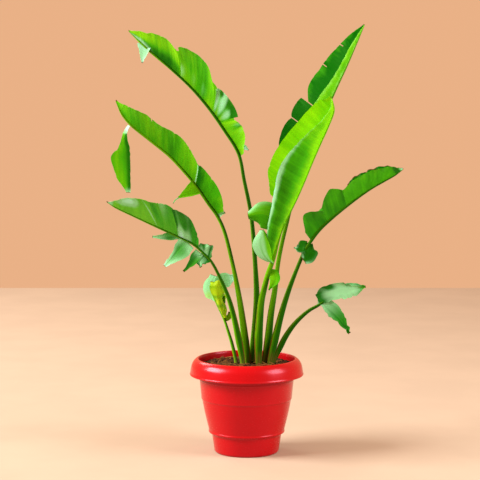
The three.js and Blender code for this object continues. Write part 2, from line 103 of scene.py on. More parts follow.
LEAVES = {
    "leaf_tall_left": dict(
        spine=[(10, 9, 154), (15, 10, 205), (18, 11, 267), (15, 13, 334), (8, 16, 416), (-4, 19, 476),
               (-14, 21, 523), (-39, 24, 564), (-69, 27, 606), (-100, 30, 641), (-134, 33, 672),
               (-170, 36, 702), (-206, 40, 736)],
        radii=(5.7, 3.2, 1.9), blade=0.57, opens=1, kind="green", rind=[0.25, 0, 0, 0, 0, 0, 1], tip=4,
        lobes=[
            dict(side=1, start=0.02, end=0.245, widths=[12, 32, 42, 42, 40], fold=60, curl=-30,
                 lean=[15, 12, 4, -8, -18], tone=[0.7, 0.95], pale=[0, 0.3, 0, 0.3, 0, 0.3, 0],
                 pale_across=[0.2, 1], wave=0, marks=[(0.75, 0.95, 0.12, 0.4, 0, -0.8, 0.2)]),
            dict(side=1, start=0.25, end=0.32, widths=[45, 48, 50, 47, 42], fold=70, curl=-40,
                 lean=[-14, 8, 24, 35, 35], tone=[0.6, 0.5], shade=[-0.2, 0.2, -0.2, 0.2, -0.1, 0.2],
                 pale=[0.3, 1.3, 0.4, 1.6, 0.6, 1.6, 1], pale_across=[0.1, 0.9, 0.9], crumple=5, wave=2.5,
                 ripple=13, ragged=2.5,
                 marks=[(0.05, 0.85, 0.25, 0.3, 0, -1.2, -1.6), (0.6, 0.9, 0.12, 0.2, 0, -0.8, -0.8)]),
            # This lobe's pale towards its tip end paints a sheen line along a fold.
            dict(side=1, start=0.33, end=0.595, widths=[46, 63, 66, 64, 60, 55], fold=66, curl=-40, lean=35,
                 tone=[0.6, 0.5, 0.45, 0.5, 0.5], shade=[0.2, 0.2, -0.1, 0, 0.05, 0.1, 0.2], wave=0,
                 pale=[0.1, 0.2, 0.5, 0.3, 0.4, 0.2, 0.9], pale_across=[0.3, 0.6, 0.2, 0, 0]),
            # The tip lobe's tones paint shade in the valley by the midrib and light where the half curves
            # out.
            dict(side=1, start=0.605, end=1, widths=[42, 47, 41, 28, 16, 2], fold=66, curl=-36, lean=35,
                 tone=[0.1, 0.2, 0.75, 0.95, 0.95], shade=[0.15, -0.15, 0, 0.1, 0.1], wave=0,
                 marks=[(0.8, 0, 0.22, 0.3, 0, 0, 1.6), (0.42, 0.8, 0.03, 0.5, 0, -0.35, 0)]),
            dict(side=-1, start=0.04, end=0.47, widths=[14, 38, 44, 50, 46], fold=58, curl=-30, lean=35,
                 tone=0.6),
            dict(side=-1, start=0.48, end=1, widths=[48, 46, 38, 24, 2], fold=58, curl=-30, lean=35,
                 tone=0.6),
        ],
        strips=[
            dict(path=[(-178, 37, 715), (-179, 34, 703), (-181, 32, 691), (-182, 31, 681)],
                 sides=([15, 9, 5, 1], [13, 9, 5, 1]), turn=[10, 20], tone=0.5, pale=[1.6, 1.3, 1.6], dry=3),
            dict(path=[(-18, 21, 536), (-9, 17, 536), (-3, 15, 534), (3, 13, 530)], halves=[5, 5, 4, 1],
                 turn=[0, -40], tone=0.9, pale=1.9),
        ],
    ),
    "leaf_middle_left": dict(
        spine=[(3, 0, 154), (-3, -1, 206), (-12, -4, 269), (-25, -9, 336), (-40, -13, 394), (-52, -15, 419),
               (-65, -17, 437), (-87, -20, 469), (-105, -22, 491), (-133, -25, 521), (-166, -29, 548),
               (-198, -33, 574), (-213, -35, 592), (-224, -38, 616)],
        radii=(5.2, 3.2, 1.6), blade=0.54, opens=1, kind="green", rind=[0.3, 0.7, 0.35, 0.3, 0.8, 0.9],
        tip=6,
        lobes=[
            dict(side=1, start=0, end=0.237, widths=[18, 36, 40, 38, 38], fold=60, curl=-18,
                 lean=[0, 20, 34, 36], tone=[0.35, 0.5], shade=[0.1, 0, 0, -0.45], wave=0.2),
            dict(side=1, start=0.243, end=1, widths=[36, 48, 48, 43, 42, 34, 20, 2], fold=62, curl=-25,
                 lean=36, tone=[0.4, 0.5, 0.55], shade=[0.1, 0.1, 0.05, 0.1, 0.05, 0.05],
                 slits=[(0.5, 0.14, 1.2)],
                 marks=[(0, 0.5, 0.008, 2, 0, 0.3, 1.8), (0.3, 0.4, 0.04, 0.6, 0, -0.3, 0)], wave=0.2),
            dict(side=-1, start=0.03, end=0.5, widths=[20, 34, 36, 40, 40], fold=54, curl=-20,
                 lean=[10, 30, 36], tone=0.4),
            dict(side=-1, start=0.51, end=1, widths=[40, 36, 28, 18, 2], fold=54, curl=-20, lean=36,
                 tone=0.4),
        ],
        strips=[
            dict(path=[(-202, -34, 574), (-208, -35, 563), (-208, -36, 550), (-203, -36, 535),
                       (-202, -36, 518), (-202, -36, 498), (-202, -36, 478), (-203, -36, 459)],
                 sides=([4, 5, 4, 2, 2, 2, 2, 3], [4, 5, 8, 23, 31, 26, 18, 4]),
                 turn=[60, 50, 10, 0, 0, 0, 0, 0], tone=[-0.4, -0.4, -0.4, -0.1, 0.45, 0.7, 0.6],
                 pale=[1.8, 1.8, 0.9] + 10 * [0] + [0.2, 0.9], dry=1.5, ragged=0.8),
            dict(path=[(-81, -22, 457), (-93, -24, 454), (-105, -26, 452), (-118, -28, 450)],
                 sides=([1, 1, 1, 1], [26, 23, 13, 1]), tone=[0.75, 0.7]),
            dict(path=[(-117, -28, 450), (-123, -28, 446), (-127, -28, 440)], halves=[0.8, 0.7, 0.4],
                 pale=1),
            dict(path=[(-53, -15, 419), (-45, -18, 421), (-38, -20, 424)], halves=[6, 4, 1], tone=0.6,
                 pale=0.9, ragged=1.5),
        ],
    ),
    "leaf_low_left": dict(
        spine=[(-6, -10, 156), (-15, -11, 208), (-30, -14, 270), (-46, -17, 309), (-62, -19, 339),
               (-78, -20, 356), (-95, -21, 370), (-115, -22, 380), (-156, -24, 399), (-194, -26, 417),
               (-227, -28, 433), (-241, -29, 442)],
        radii=(4.6, 2.6, 1.2), blade=0.52, opens=1, kind="sea", rind=[0.15, 0.05, 0, 0.1, 0.4, 0.6], tip=5,
        lobes=[
            dict(side=1, start=0.19, end=0.35, widths=[30, 56, 62, 60], fold=60, curl=-26,
                 lean=[24, 25, 27, 30], tone=[0.35, 0.1], pale=[-0.1, 0, 0.35, -0.1, 0.35, -0.1],
                 pale_across=[1, 0.8, 0.9],
                 marks=[(0.8, 0.1, 0.4, 0.25, 0, 0, 1.5), (0.97, 0.7, 0.06, 0.6, 0, -0.5, -0.3)]),
            dict(side=1, start=0.352, end=1, widths=[63, 60, 52, 49, 41, 30, 16, 2], fold=58, curl=-20,
                 lean=28, tone=[0.85, 0.8, 0.75], shade=[-0.35, -0.1, 0.05, 0.1, 0, 0, 0.2],
                 pale=[-0.1, 0.3, 0.5] + 6 * [-0.2] + [0, 0.2, 0.3, 0.6], pale_across=[0.2, 0.7, 1.2],
                 slits=[(0.97, 0.5, 1.5)],
                 # The first mark paints a silver sheen along the upper margin.
                 marks=[(0.65, 0.8, 0.14, 0.3, 0, 0.2, 2.2), (0.36, 0.5, 0.014, 0.5, 0.157, 0, 1.3),
                        (1, 0.5, 0.09, 1.5, 0, 0, 1.1), (0.27, 0.5, 0.05, 0.6, 0.1, -0.3, 0),
                        (0.86, 0.5, 0.05, 0.5, 0, 0.3, -0.2)]),
            dict(side=1, start=0.03, end=0.17, widths=[8, 20, 15, 9], fold=60, curl=30, lean=10, wave=3,
                 ripple=13, tone=[0.3, 0.1], pale=[0.3, 0.8, 0.4], crumple=5, ragged=4, singed=1,
                 marks=[(0.3, 0.6, 0.08, 0.5, 0.3, -0.6, -0.5), (0.7, 0.6, 0.07, 0.5, 0.3, -0.6, -0.5)]),
            dict(side=-1, start=0.16, end=0.6, widths=[20, 42, 46, 44], fold=50, curl=-20, lean=28,
                 tone=0.4),
            dict(side=-1, start=0.61, end=1, widths=[43, 34, 20, 2], fold=50, curl=-20, lean=28, tone=0.5),
        ],
        strips=[
            dict(path=[(-118, -22, 386), (-134, -25, 384), (-146, -27, 382), (-163, -28, 382)],
                 sides=([9, 8, 5, 1], [4, 5, 4, 1]), tone=[0.1, 0.3], pale=[0.6, 0.3, 0.6, 0.9], ragged=1),
            dict(path=[(-102, -21, 373), (-115, -28, 361), (-128, -32, 347), (-142, -34, 332)],
                 sides=([16, 17, 11, 2], [14, 11, 5, 2]), turn=[0, 20], tone=[0.3, 0.3, 0.05],
                 pale=[1.3, 0.6, 0.9, 1.9], pale_across=[1, 0.5, 1], crumple=2, ragged=1.5),
            dict(path=[(-82, -20, 356), (-89, -26, 347), (-97, -30, 335), (-109, -32, 322)],
                 sides=([9, 9, 7, 2], [7, 8, 5, 2]), turn=[0, -25], tone=[0.4, 0, -0.2],
                 pale=[0.8, 0.3, 0.1, 0], dry=3, crumple=3, ragged=1.5),
            dict(path=[(-70, -19, 348), (-75, -24, 343), (-80, -27, 337), (-80, -30, 330)],
                 halves=[10, 11, 8, 3], turn=[0, 60], tone=0, pale=[0.3, 0.7], pale_across=[0.6, 1.2, 0.3],
                 dry=3, crumple=5, ragged=4),
        ],
    ),
    "leaf_young_left": dict(
        spine=[(-18, 4, 154), (-25, 7, 188), (-33, 10, 214), (-40, 13, 234), (-51, 16, 257), (-60, 18, 278),
               (-64, 20, 298)],
        radii=(3.4, 2, 1), spread=0.2, blade=0.64, opens=1, kind="bright", rind=[0.8, 0.3, 0.4, 0.8], tip=0,
        yellow=0.75,
        lobes=[
            # The alternating shades paint darker and lighter bands along the crumples.
            dict(side=1, start=0, end=1, widths=[8, 18, 22, 26, 24, 32, 38, 32, 5], fold=0, curl=215,
                 lean=0, wave=3.5, ripple=11, tone=0.8,
                 shade=[0, 0.3, -0.4, 0.3, -0.3, 0.3, -0.4, 0.2, 0.2], crumple=9),
            dict(side=-1, start=0, end=1, widths=[5, 13, 19, 24, 28, 31, 32, 29, 9], fold=0, curl=215,
                 lean=0, wave=3, ripple=12, tone=0.7, shade=[0, 0.3, -0.3, 0.3, -0.3, 0.3, 0], crumple=9),
        ],
        strips=[
            # The alternating shade paints darker and lighter bands along the strip's crumples.
            dict(path=[(-42, 7, 242), (-47, 5, 258), (-51, 4, 274), (-52, 4, 290), (-50, 6, 303)],
                 turn=[0, 10], sides=([2, 5, 6, 11, 12, 2], [3, 8, 9, 13, 11, 2]), cup=-7,
                 tone=[0.6, 0.8, 0.9, 0.6], shade=[0, 0.4, -0.5, 0.4, -0.4, 0.4, -0.2, 0.4, 0.4], crumple=4,
                 ragged=2),
            dict(path=[(-55, 17, 266), (-60, 23, 276), (-62, 26, 290), (-56, 27, 308)],
                 halves=[3, 11, 14, 9], turn=[0, -20], tone=0.6, pale=[0.8, 0.5, 1, 1.2], crumple=5,
                 ragged=3.5),
            dict(path=[(-52, 22, 284), (-44, 26, 296), (-34, 28, 303), (-20, 28, 309)],
                 halves=[7, 13, 13, 3], turn=[20, -20], tone=0.4, pale=[1, 0.8, 1.8], crumple=4, ragged=3),
            dict(path=[(-41, 13, 232), (-36, 12, 234), (-31, 11, 238), (-30, 11, 246)], halves=[3, 5, 4, 2],
                 tone=0.2, pale=0.1, dry=5, crumple=3),
        ],
    ),
    "leaf_centre": dict(
        spine=[(20, -8, 156), (20, -12, 200), (22, -16, 237), (25, -20, 269), (30, -23, 292),
               (36, -27, 316), (47, -34, 349), (53, -36, 372), (62, -40, 400), (75, -44, 428),
               (86, -47, 451), (98, -52, 479), (110, -57, 509), (124, -62, 542), (138, -68, 574),
               (147, -72, 601), (143, -74, 622)],
        radii=(6, 4.6, 1.3), blade=0.4, opens=-1, kind="bright", rind=[0.3, 0.35, 0.6, 0.8, 1.2, 1.4],
        tip=0, rib=2,
        lobes=[
            # The near half's tones paint shade in the middle of its roll, and its pale near the margin paints
            # a sheen along the rolled edge.
            dict(side=1, start=0.03, end=1, widths=[4, 20, 30, 40, 52, 60, 64, 58, 48, 37, 23, 12, 2],
                 fold=[30, 20, 10, 15, 25, 33, 40, 44], curl=[110, 110, 110, 85, 60, 35, 15, 10], lean=12,
                 tone=[1.15, 0.85, 0.5, 0.3, 0.3, 0.4], shade=[0, -0.05, -0.05, 0, 0.15, 0.5, 0.8], wave=0,
                 pale=[0, 0.5, 1.2, 1.3, 0.8, 0.3, 0.3, 0.3], pale_across=[0, 0, 0, 0, 0, 0, 0, 0.4, 1.4]),
            dict(side=-1, start=0.33, end=1, widths=[50, 68, 71, 68, 62, 54, 45, 30, 3], fold=62, curl=10,
                 lean=[12, 12, 12, 12, 12, 14, 26, 46], tone=[0.75, 0.85], wave=0),
        ],
        strips=[
            dict(path=[(62, -38, 404), (46, -41, 417), (26, -42, 425), (2, -40, 422)],
                 sides=([15, 25, 25, 9], [12, 20, 20, 5]), turn=[0, -10], cup=-7, tone=[0.45, 0.5, 0.75],
                 pale=[0, 0.1, 0.4, 0.7], pale_across=[0.2, 0.2, 0.4, 1.6]),
            dict(path=[(44, -32, 339), (38, -37, 345), (31, -39, 357), (27, -40, 374), (26, -40, 396)],
                 halves=[2, 7, 15, 18, 4], turn=[0, 15], cup=-6, tone=[0.8, 0.7, 0.7, 0.6],
                 pale=[0.7, 1, 0.9], pale_across=[1.1, 1, 0.7, 0.1, 0],
                 marks=[(0.45, 0.35, 0.5, 0.07, 0.4, -0.2, -0.4)]),
            dict(path=[(38, -28, 322), (46, -32, 318), (48, -34, 308), (38, -34, 290)], halves=[4, 8, 9, 1],
                 cup=3, tone=[0.5, 0.9]),
        ],
    ),
    "leaf_tall_right": dict(
        spine=[(31, 5, 154), (37, 8, 196), (42, 12, 242), (49, 16, 284), (55, 22, 331), (63, 26, 371),
               (71, 30, 403), (79, 34, 436), (90, 39, 476), (106, 45, 518), (123, 50, 558), (139, 54, 595),
               (160, 59, 641), (177, 63, 677), (194, 68, 716), (208, 72, 748)],
        radii=(5.4, 3.4, 1.2), blade=0.48, opens=-1, kind="green", rind=[0.3, 0.65, 0.5, 0.7], tip=3,
        lobes=[
            dict(side=1, start=0.2, end=1, widths=[16, 28, 36, 38, 28, 20, 16, 10, 2], fold=36, curl=10,
                 lean=14, tone=[0.8, 0.6, 0.9], pale=0.4, pale_across=[1, 0.3, 0.9], ragged=0.2, wave=0),
            dict(side=-1, start=0.16, end=0.383, widths=[35, 55, 63, 64, 61], fold=60, curl=4, lean=14,
                 tone=[-0.4, -0.1], ragged=0.2, wave=0),
            dict(side=-1, start=0.388, end=0.497, widths=[61, 60, 58], fold=65, curl=-4, lean=14,
                 tone=[-0.4, -0.15], ragged=0.2, wave=0),
            dict(side=-1, start=0.502, end=1, widths=[42, 50, 50, 45, 42, 37, 30, 22, 13, 2], fold=63,
                 curl=0, lean=14, tone=[-0.35, -0.15, 0.15], slits=[(0.4, 0.22, 0.6), (0.68, 0.26, 0.7)],
                 ragged=0.2, wave=0),
        ],
        strips=[],
    ),
    "leaf_middle_right": dict(
        spine=[(40, -4, 156), (50, -6, 204), (60, -8, 245), (73, -9, 287), (89, -10, 329), (98, -10, 350),
               (110, -10, 371), (126, -9, 392), (146, -8, 411), (173, -6, 433), (200, -4, 453),
               (220, -2, 466), (240, 0, 477), (258, 2, 487), (272, 4, 497)],
        radii=(5.2, 3.2, 1.4), blade=0.56, opens=-1, kind="green", rind=[0.3, 0.1, 0.15, 0.1], tip=0,
        lobes=[
            dict(side=1, start=0.02, end=0.224, widths=[24, 53, 50, 40, 33], fold=60, curl=-24, lean=14,
                 tone=[0.1, 0.2], wave=0),
            dict(side=1, start=0.226, end=0.434, widths=[38, 52, 58, 50, 41], fold=56, curl=-12, lean=14,
                 tone=[0.2, 0.25], wave=0),
            dict(side=1, start=0.437, end=1, widths=[40, 43, 42, 39, 35, 28, 18, 3], fold=58, curl=-20,
                 lean=14, tone=[0.35, 0.45],
                 marks=[(0.88, 0.6, 0.035, 0.6, -0.06, -1.2, 0), (1, 0.8, 0.06, 0.7, 0, 0.2, 1.9)],
                 wave=0.3, singed=0.5),
            dict(side=-1, start=0.06, end=0.5, widths=[20, 34, 36, 38, 38], fold=42, curl=-6, lean=14,
                 tone=0.4),
            dict(side=-1, start=0.51, end=1, widths=[38, 40, 37, 32, 22, 4], fold=56, curl=-10, lean=14,
                 tone=-0.1, singed=1, wave=1.5, ripple=16, ragged=2),
        ],
        strips=[
            dict(path=[(107, -10, 367), (98, -14, 364), (90, -18, 360), (82, -18, 363)],
                 halves=[5, 7, 5, 2], turn=[0, 60], tone=-0.6, pale=[0.1, 0.3, 1.1],
                 pale_across=[1, 0.2, 1], crumple=6, ragged=6, dry=2),
            dict(path=[(110, -11, 369), (108, -16, 358), (106, -18, 348), (98, -20, 341)],
                 halves=[4, 9, 9, 5], turn=[0, 20], cup=4, tone=-0.8, pale=[0.2, 0.2, 0.3, 0.8],
                 pale_across=[1, 0, 1], crumple=8, ragged=6, dry=2),
        ],
    ),
    "leaf_low_right": dict(
        spine=[(46, 6, 154), (57, 5, 181), (67, 3, 202), (80, 0, 222), (95, -4, 239), (110, -8, 252),
               (125, -12, 261), (140, -15, 272), (162, -19, 283), (183, -22, 291), (204, -25, 294)],
        radii=(3.8, 2.2, 1), blade=0.66, opens=-1, kind="sea", rind=[0.2, 0.1, 0.1, 0.5], tip=2,
        lobes=[
            dict(side=-1, start=0.02, end=1, widths=[12, 24, 22, 18, 15, 10, 2], fold=50, curl=-16, lean=10,
                 tone=0.1, pale=0.4),
        ],
        strips=[
            dict(path=[(122, -16, 273), (136, -20, 281), (153, -24, 287), (172, -26, 289), (188, -27, 291),
                       (206, -27, 295)], sides=([6, 13, 14, 10, 5, 0.6], [7, 15, 13, 13, 9, 0.6]), cup=3,
                 tone=[0.2, 0.1, 0.2], shade=[-0.4, -0.1, 0, 0, 0.3], pale=[0, 0.6, 0.9, 0.9, 0.8, 0.1],
                 crumple=5, ragged=3, dry=2,
                 marks=[(0.3, 0.1, 0.09, 0.25, 0.2, -0.4, -0.9), (0.6, 0, 0.08, 0.2, 0.2, -0.2, -0.6),
                        (0.5, 0.5, 0.3, 0.06, 0, 0, 0.2)]),
            dict(path=[(127, -14, 270), (142, -18, 257), (156, -22, 244), (167, -24, 230), (179, -24, 213)],
                 sides=([5, 12, 12, 7, 1], [5, 8, 8, 5, 1]), turn=[0, 12], cup=3, tone=[0.15, 0.1],
                 pale=[0.9, 0.6, 0.3, 0.1, 0], dry=3, crumple=3, ragged=2.5),
        ],
    ),
}
SLOTS = {"green": "leaf_green", "bright": "leaf_bright", "sea": "leaf_sea_green"}


# ---------------------------------------------------------------- settings
def length_setting(name, description, default):
    """A length in metres that a user may change."""
    return FloatProperty(name=name, description=description, default=default, min=0, unit="LENGTH",
                         subtype="DISTANCE", precision=5)


def colour_setting(name, description, default):
    return FloatVectorProperty(name=name, description=description, default=default, subtype="COLOR", size=3,
                               min=0, max=1)


def power_setting(name, description, default):
    return FloatProperty(name=name, description=description, default=default, min=0, unit="POWER")


class PALM_PG_leaves(bpy.types.PropertyGroup):
    """Sizes and colours of the leaves."""
    thickness: length_setting("Thickness", "Thickness of a blade", 0.5 * MM)
    cell: length_setting("Cell", "Size of a face of a blade", 1.4 * MM)
    vein_spacing: length_setting("Vein Spacing", "From one pleat of a blade to the next", 8 * MM)
    pleat: length_setting("Pleat", "Height of a blade's pleats", 0.12 * MM)
    crease_length: length_setting("Crease Length", "Size of the broad creases across a blade", 24 * MM)
    dark_green: colour_setting("Dark Green", "Darkest green of a grown leaf", (0.001, 0.170, 0.001))
    mid_green: colour_setting("Mid Green", "Middle green of a grown leaf", (0.062, 0.480, 0.001))
    light_green: colour_setting("Light Green", "Lightest green of a grown leaf", (0.290, 0.760, 0.002))
    # Mint stands for bleached tissue and is also used for painted sheen.
    mint: colour_setting("Mint", "Colour of bleached tissue", (0.370, 0.780, 0.480))
    yellow: colour_setting("Yellow", "Colour of a leaf that has not turned green", (0.560, 0.680, 0.012))
    sea: colour_setting("Sea", "Colour mixed into the sea green leaves", (0.040, 0.520, 0.110))
    # Silver is the palest mint, used for painted sheen as well as for bleached tissue.
    silver: colour_setting("Silver", "Colour of fully bleached tissue", (0.560, 0.920, 0.960))
    dry: colour_setting("Dry", "Colour of dry tips and margins", (0.140, 0.060, 0.018))


class PALM_PG_stalks(bpy.types.PropertyGroup):
    """Sizes and colours of the stalks."""
    step: length_setting("Step", "Length of one step along a stalk", 3 * MM)
    sides: IntProperty(name="Sides", description="Faces round a stalk", default=22, min=8, max=64)
    channel: FloatProperty(name="Channel", description="Depth of the channel as a share of the radius",
                           default=0.4, min=0, max=1, subtype="FACTOR")
    sheath: length_setting("Sheath", "How far a sheath's margins stand out at the soil", 2.6 * MM)
    spread: length_setting("Spread", "How much a stalk widens to either side near the soil", 3.2 * MM)
    colour: colour_setting("Colour", "Green of the stalks", (0.007, 0.078, 0.0005))
    light: colour_setting("Light", "Light green of the stalks' lit flank and foot", (0.112, 0.370, 0.001))
    margin: colour_setting("Margin", "Colour of the sheaths' margins", (0.130, 0.030, 0.006))
    withered: colour_setting("Withered", "Colour of withered sheath at the soil", (0.160, 0.075, 0.020))


class PALM_PG_pot(bpy.types.PropertyGroup):
    """Sizes and colours of the pot and the soil."""
    segments: IntProperty(name="Segments", description="Faces round the pot", default=192, min=32, max=512)
    plastic: colour_setting("Plastic", "Colour of the pot", (0.430, 0.0004, 0.003))
    soil: colour_setting("Soil", "Colour of the soil", (0.036, 0.012, 0.002))
    fibre: colour_setting("Fibre", "Colour of the soil's fibres", (0.270, 0.120, 0.026))
    grain_size: length_setting("Grain Size", "Size of the soil's largest grains", 4.6 * MM)
    grain_density: FloatProperty(name="Grain Density", description="Grains on a square metre of soil",
                                 default=45000, min=0)
    seed: IntProperty(name="Seed", description="Seed of the soil's random draws", default=4, min=0)


class PALM_PG_stage(bpy.types.PropertyGroup):
    """Floor, lights and camera."""
    floor: colour_setting("Floor", "Colour of the floor", (0.430, 0.345, 0.265))
    wall: colour_setting("Wall", "Colour of what surrounds the object", (0.820, 0.440, 0.240))
    floor_half: length_setting("Floor Half", "From the object to the edges of the floor", 2.29)
    sky: FloatProperty(name="Sky", description="Strength of the light from all round", default=1.0, min=0)
    key: power_setting("Key", "Strength of the large light at the left", 420)
    fill: power_setting("Fill", "Strength of the light at the right", 60)
    back: power_setting("Back", "Strength of the light behind the leaves", 20)


# ---------------------------------------------------------------- node trees
def reckoning(operation):
    """A method that adds a math node between a value and another value or number."""
    return lambda first, second: first.nodes.math(operation, first, second)


class Value:
    """What a node gives. Sums, products and powers of it are nodes too."""

    def __init__(self, nodes, socket):
        self.nodes = nodes
        self.socket = socket

    __add__ = reckoning("ADD")
    __sub__ = reckoning("SUBTRACT")
    __mul__ = reckoning("MULTIPLY")
    __truediv__ = reckoning("DIVIDE")
    __pow__ = reckoning("POWER")


class Nodes:
    """Adds nodes to a tree. An input takes a value to link or a plain number, colour or name."""

    def __init__(self, tree):
        self.tree = tree

    def plug(self, node, inputs):
        for key, value in inputs.items():
            if isinstance(value, Value):
                self.tree.links.new(value.socket, node.inputs[key])
            else:
                node.inputs[key].default_value = value

    def add(self, kind, inputs=None, **settings):
        """A new node itself."""
        node = self.tree.nodes.new(kind)
        for name, setting in settings.items():
            setattr(node, name, setting)
        self.plug(node, inputs or {})
        return node

    def value(self, kind, inputs=None, output=0, **settings):
        """What a new node gives."""
        return Value(self, self.add(kind, inputs, **settings).outputs[output])

    def math(self, operation, *values):
        return self.value("ShaderNodeMath", dict(enumerate(values)), operation=operation)

    def vector_math(self, operation, *values):
        output = "Value" if operation == "LENGTH" else "Vector"
        return self.value("ShaderNodeVectorMath", dict(enumerate(values)), output, operation=operation)

    def scaled(self, vector, factor):
        return self.value("ShaderNodeVectorMath", {0: vector, "Scale": factor}, operation="SCALE")

    def vector(self, x=0.0, y=0.0, z=0.0):
        return self.value("ShaderNodeCombineXYZ", {0: x, 1: y, 2: z})

    def parts(self, vector):
        node = self.add("ShaderNodeSeparateXYZ", {0: vector})
        return [Value(self, socket) for socket in node.outputs]

    def ramp(self, value, low, high, start=0.0, end=1.0):
        """Carries low to start and high to end, smoothly and held beyond."""
        inputs = {"Value": value, "From Min": low, "From Max": high, "To Min": start, "To Max": end}
        return self.value("ShaderNodeMapRange", inputs, interpolation_type="SMOOTHSTEP")

    def noise(self, vector, scale, detail=2.0, roughness=0.5):
        inputs = {"Vector": vector, "Scale": scale, "Detail": detail, "Roughness": roughness}
        return self.value("ShaderNodeTexNoise", inputs)

    def mix(self, factor, first, second, blend="MIX"):
        inputs = {0: factor, 6: first, 7: second}
        return self.value("ShaderNodeMix", inputs, 2, data_type="RGBA", blend_type=blend)

    def bump(self, height, strength, distance):
        return self.value("ShaderNodeBump", {"Height": height, "Strength": strength, "Distance": distance})

    def attribute(self, name, output="Vector"):
        """A mesh attribute in a material."""
        return self.value("ShaderNodeAttribute", output=output, attribute_name=name)

    def named(self, name, data_type="FLOAT_VECTOR"):
        """A mesh attribute in a geometry tree."""
        return self.value("GeometryNodeInputNamedAttribute", {"Name": name}, data_type=data_type)

    def random(self, low, high, seed):
        """A random number between two numbers, or a random vector between two vectors."""
        if isinstance(low, tuple):
            first, output, data_type = 0, 0, "FLOAT_VECTOR"
        else:
            first, output, data_type = 2, 1, "FLOAT"
        inputs = {first: low, first + 1: high, "Seed": seed}
        return self.value("FunctionNodeRandomValue", inputs, output, data_type=data_type)


def rgba(colour):
    return (*colour, 1.0)


def shader(name):
    """A new material with its helper, its Principled shader and its output."""
    material = bpy.data.materials.new(name)
    material.use_nodes = True
    tree = material.node_tree
    tree.nodes.clear()
    nodes = Nodes(tree)
    surface = nodes.add("ShaderNodeBsdfPrincipled")
    output = nodes.add("ShaderNodeOutputMaterial", {"Surface": Value(nodes, surface.outputs[0])})
    return material, nodes, surface, output


def geometry_tree(name, inputs):
    """A new geometry tree, with its helper, its inputs by name, and a function that ends it."""
    tree = bpy.data.node_groups.new(name, "GeometryNodeTree")
    tree.interface.new_socket("Geometry", in_out="INPUT", socket_type="NodeSocketGeometry")
    for label, kind in inputs.items():
        tree.interface.new_socket(label, in_out="INPUT", socket_type="NodeSocket" + kind)
    tree.interface.new_socket("Geometry", in_out="OUTPUT", socket_type="NodeSocketGeometry")
    nodes = Nodes(tree)
    given = {socket.name: Value(nodes, socket) for socket in nodes.add("NodeGroupInput").outputs}

    def end(geometry):
        smooth = nodes.value("GeometryNodeSetShadeSmooth", {"Geometry": geometry})
        real = nodes.value("GeometryNodeRealizeInstances", {"Geometry": smooth})
        finish = nodes.value("GeometryNodeSetMaterial", {"Geometry": real, "Material": given["Material"]})
        nodes.add("NodeGroupOutput", {"Geometry": finish})
        return tree

    return nodes, given, end


def grown(name, source, tree, inputs):
    """Runs a geometry tree on a mesh and gives the result as a plain object."""
    holder = bpy.data.objects.new(name + "_source", source)
    bpy.context.scene.collection.objects.link(holder)
    modifier = holder.modifiers.new(tree.name, "NODES")
    modifier.node_group = tree
    for item in tree.interface.items_tree:
        if item.in_out == "INPUT" and item.name in inputs:
            modifier[item.identifier] = inputs[item.name]
    evaluated = holder.evaluated_get(bpy.context.evaluated_depsgraph_get())
    mesh = bpy.data.meshes.new_from_object(evaluated)
    mesh.name = name
    holder.modifiers.clear()
    bpy.data.objects.remove(holder)
    bpy.data.meshes.remove(source)
    return place_piece(name, mesh)


def place_piece(name, mesh, material=None):
    piece = bpy.data.objects.new(name, mesh)
    bpy.context.scene.collection.objects.link(piece)
    if material:
        mesh.materials.append(material)
    return piece


def attach(piece, node):
    """Says what a finished piece moves with, and hides the part that it stands for."""
    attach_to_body(piece, "root")
    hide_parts(node)


def store(mesh, name, values):
    """Writes one number or vector for each point of a mesh."""
    values = np.asarray(values, np.float32)
    is_vector = values.ndim == 2
    layer = mesh.attributes.new(name, "FLOAT_VECTOR" if is_vector else "FLOAT", "POINT")
    layer.data.foreach_set("vector" if is_vector else "value", values.ravel())


def mesh_of(bm, name):
    """The mesh of a bmesh that is done with."""
    mesh = bpy.data.meshes.new(name)
    bm.to_mesh(mesh)
    bm.free()
    return mesh


# ---------------------------------------------------------------- curves
def along(values, share):
    """A smooth value at each share from 0 to 1 of a number or of evenly spaced numbers."""
    values = np.atleast_1d(np.asarray(values, float))
    last = len(values) - 1
    if last == 0:
        return np.full(np.shape(share), values[0])
    place = np.clip(share, 0, 1) * last
    start = np.minimum(np.floor(place).astype(int), last - 1)
    t = place - start
    a, b, c, d = (values[np.clip(start + k, 0, last)] for k in (-1, 0, 1, 2))
    rise_b = (c - a) / 2
    rise_c = (d - b) / 2
    cubic = 2 * b - 2 * c + rise_b + rise_c
    square = 3 * c - 3 * b - 2 * rise_b - rise_c
    return cubic * t**3 + square * t**2 + rise_b * t + b


def unit(vectors):
    return vectors / np.linalg.norm(vectors, axis=-1, keepdims=True)


def turned(vectors, axes, degrees):
    """Vectors turned about unit axes."""
    angle = np.radians(degrees)[..., None]
    across = np.cross(axes, vectors)
    inline = axes * np.sum(axes * vectors, axis=-1, keepdims=True)
    return vectors * np.cos(angle) + across * np.sin(angle) + inline * (1 - np.cos(angle))


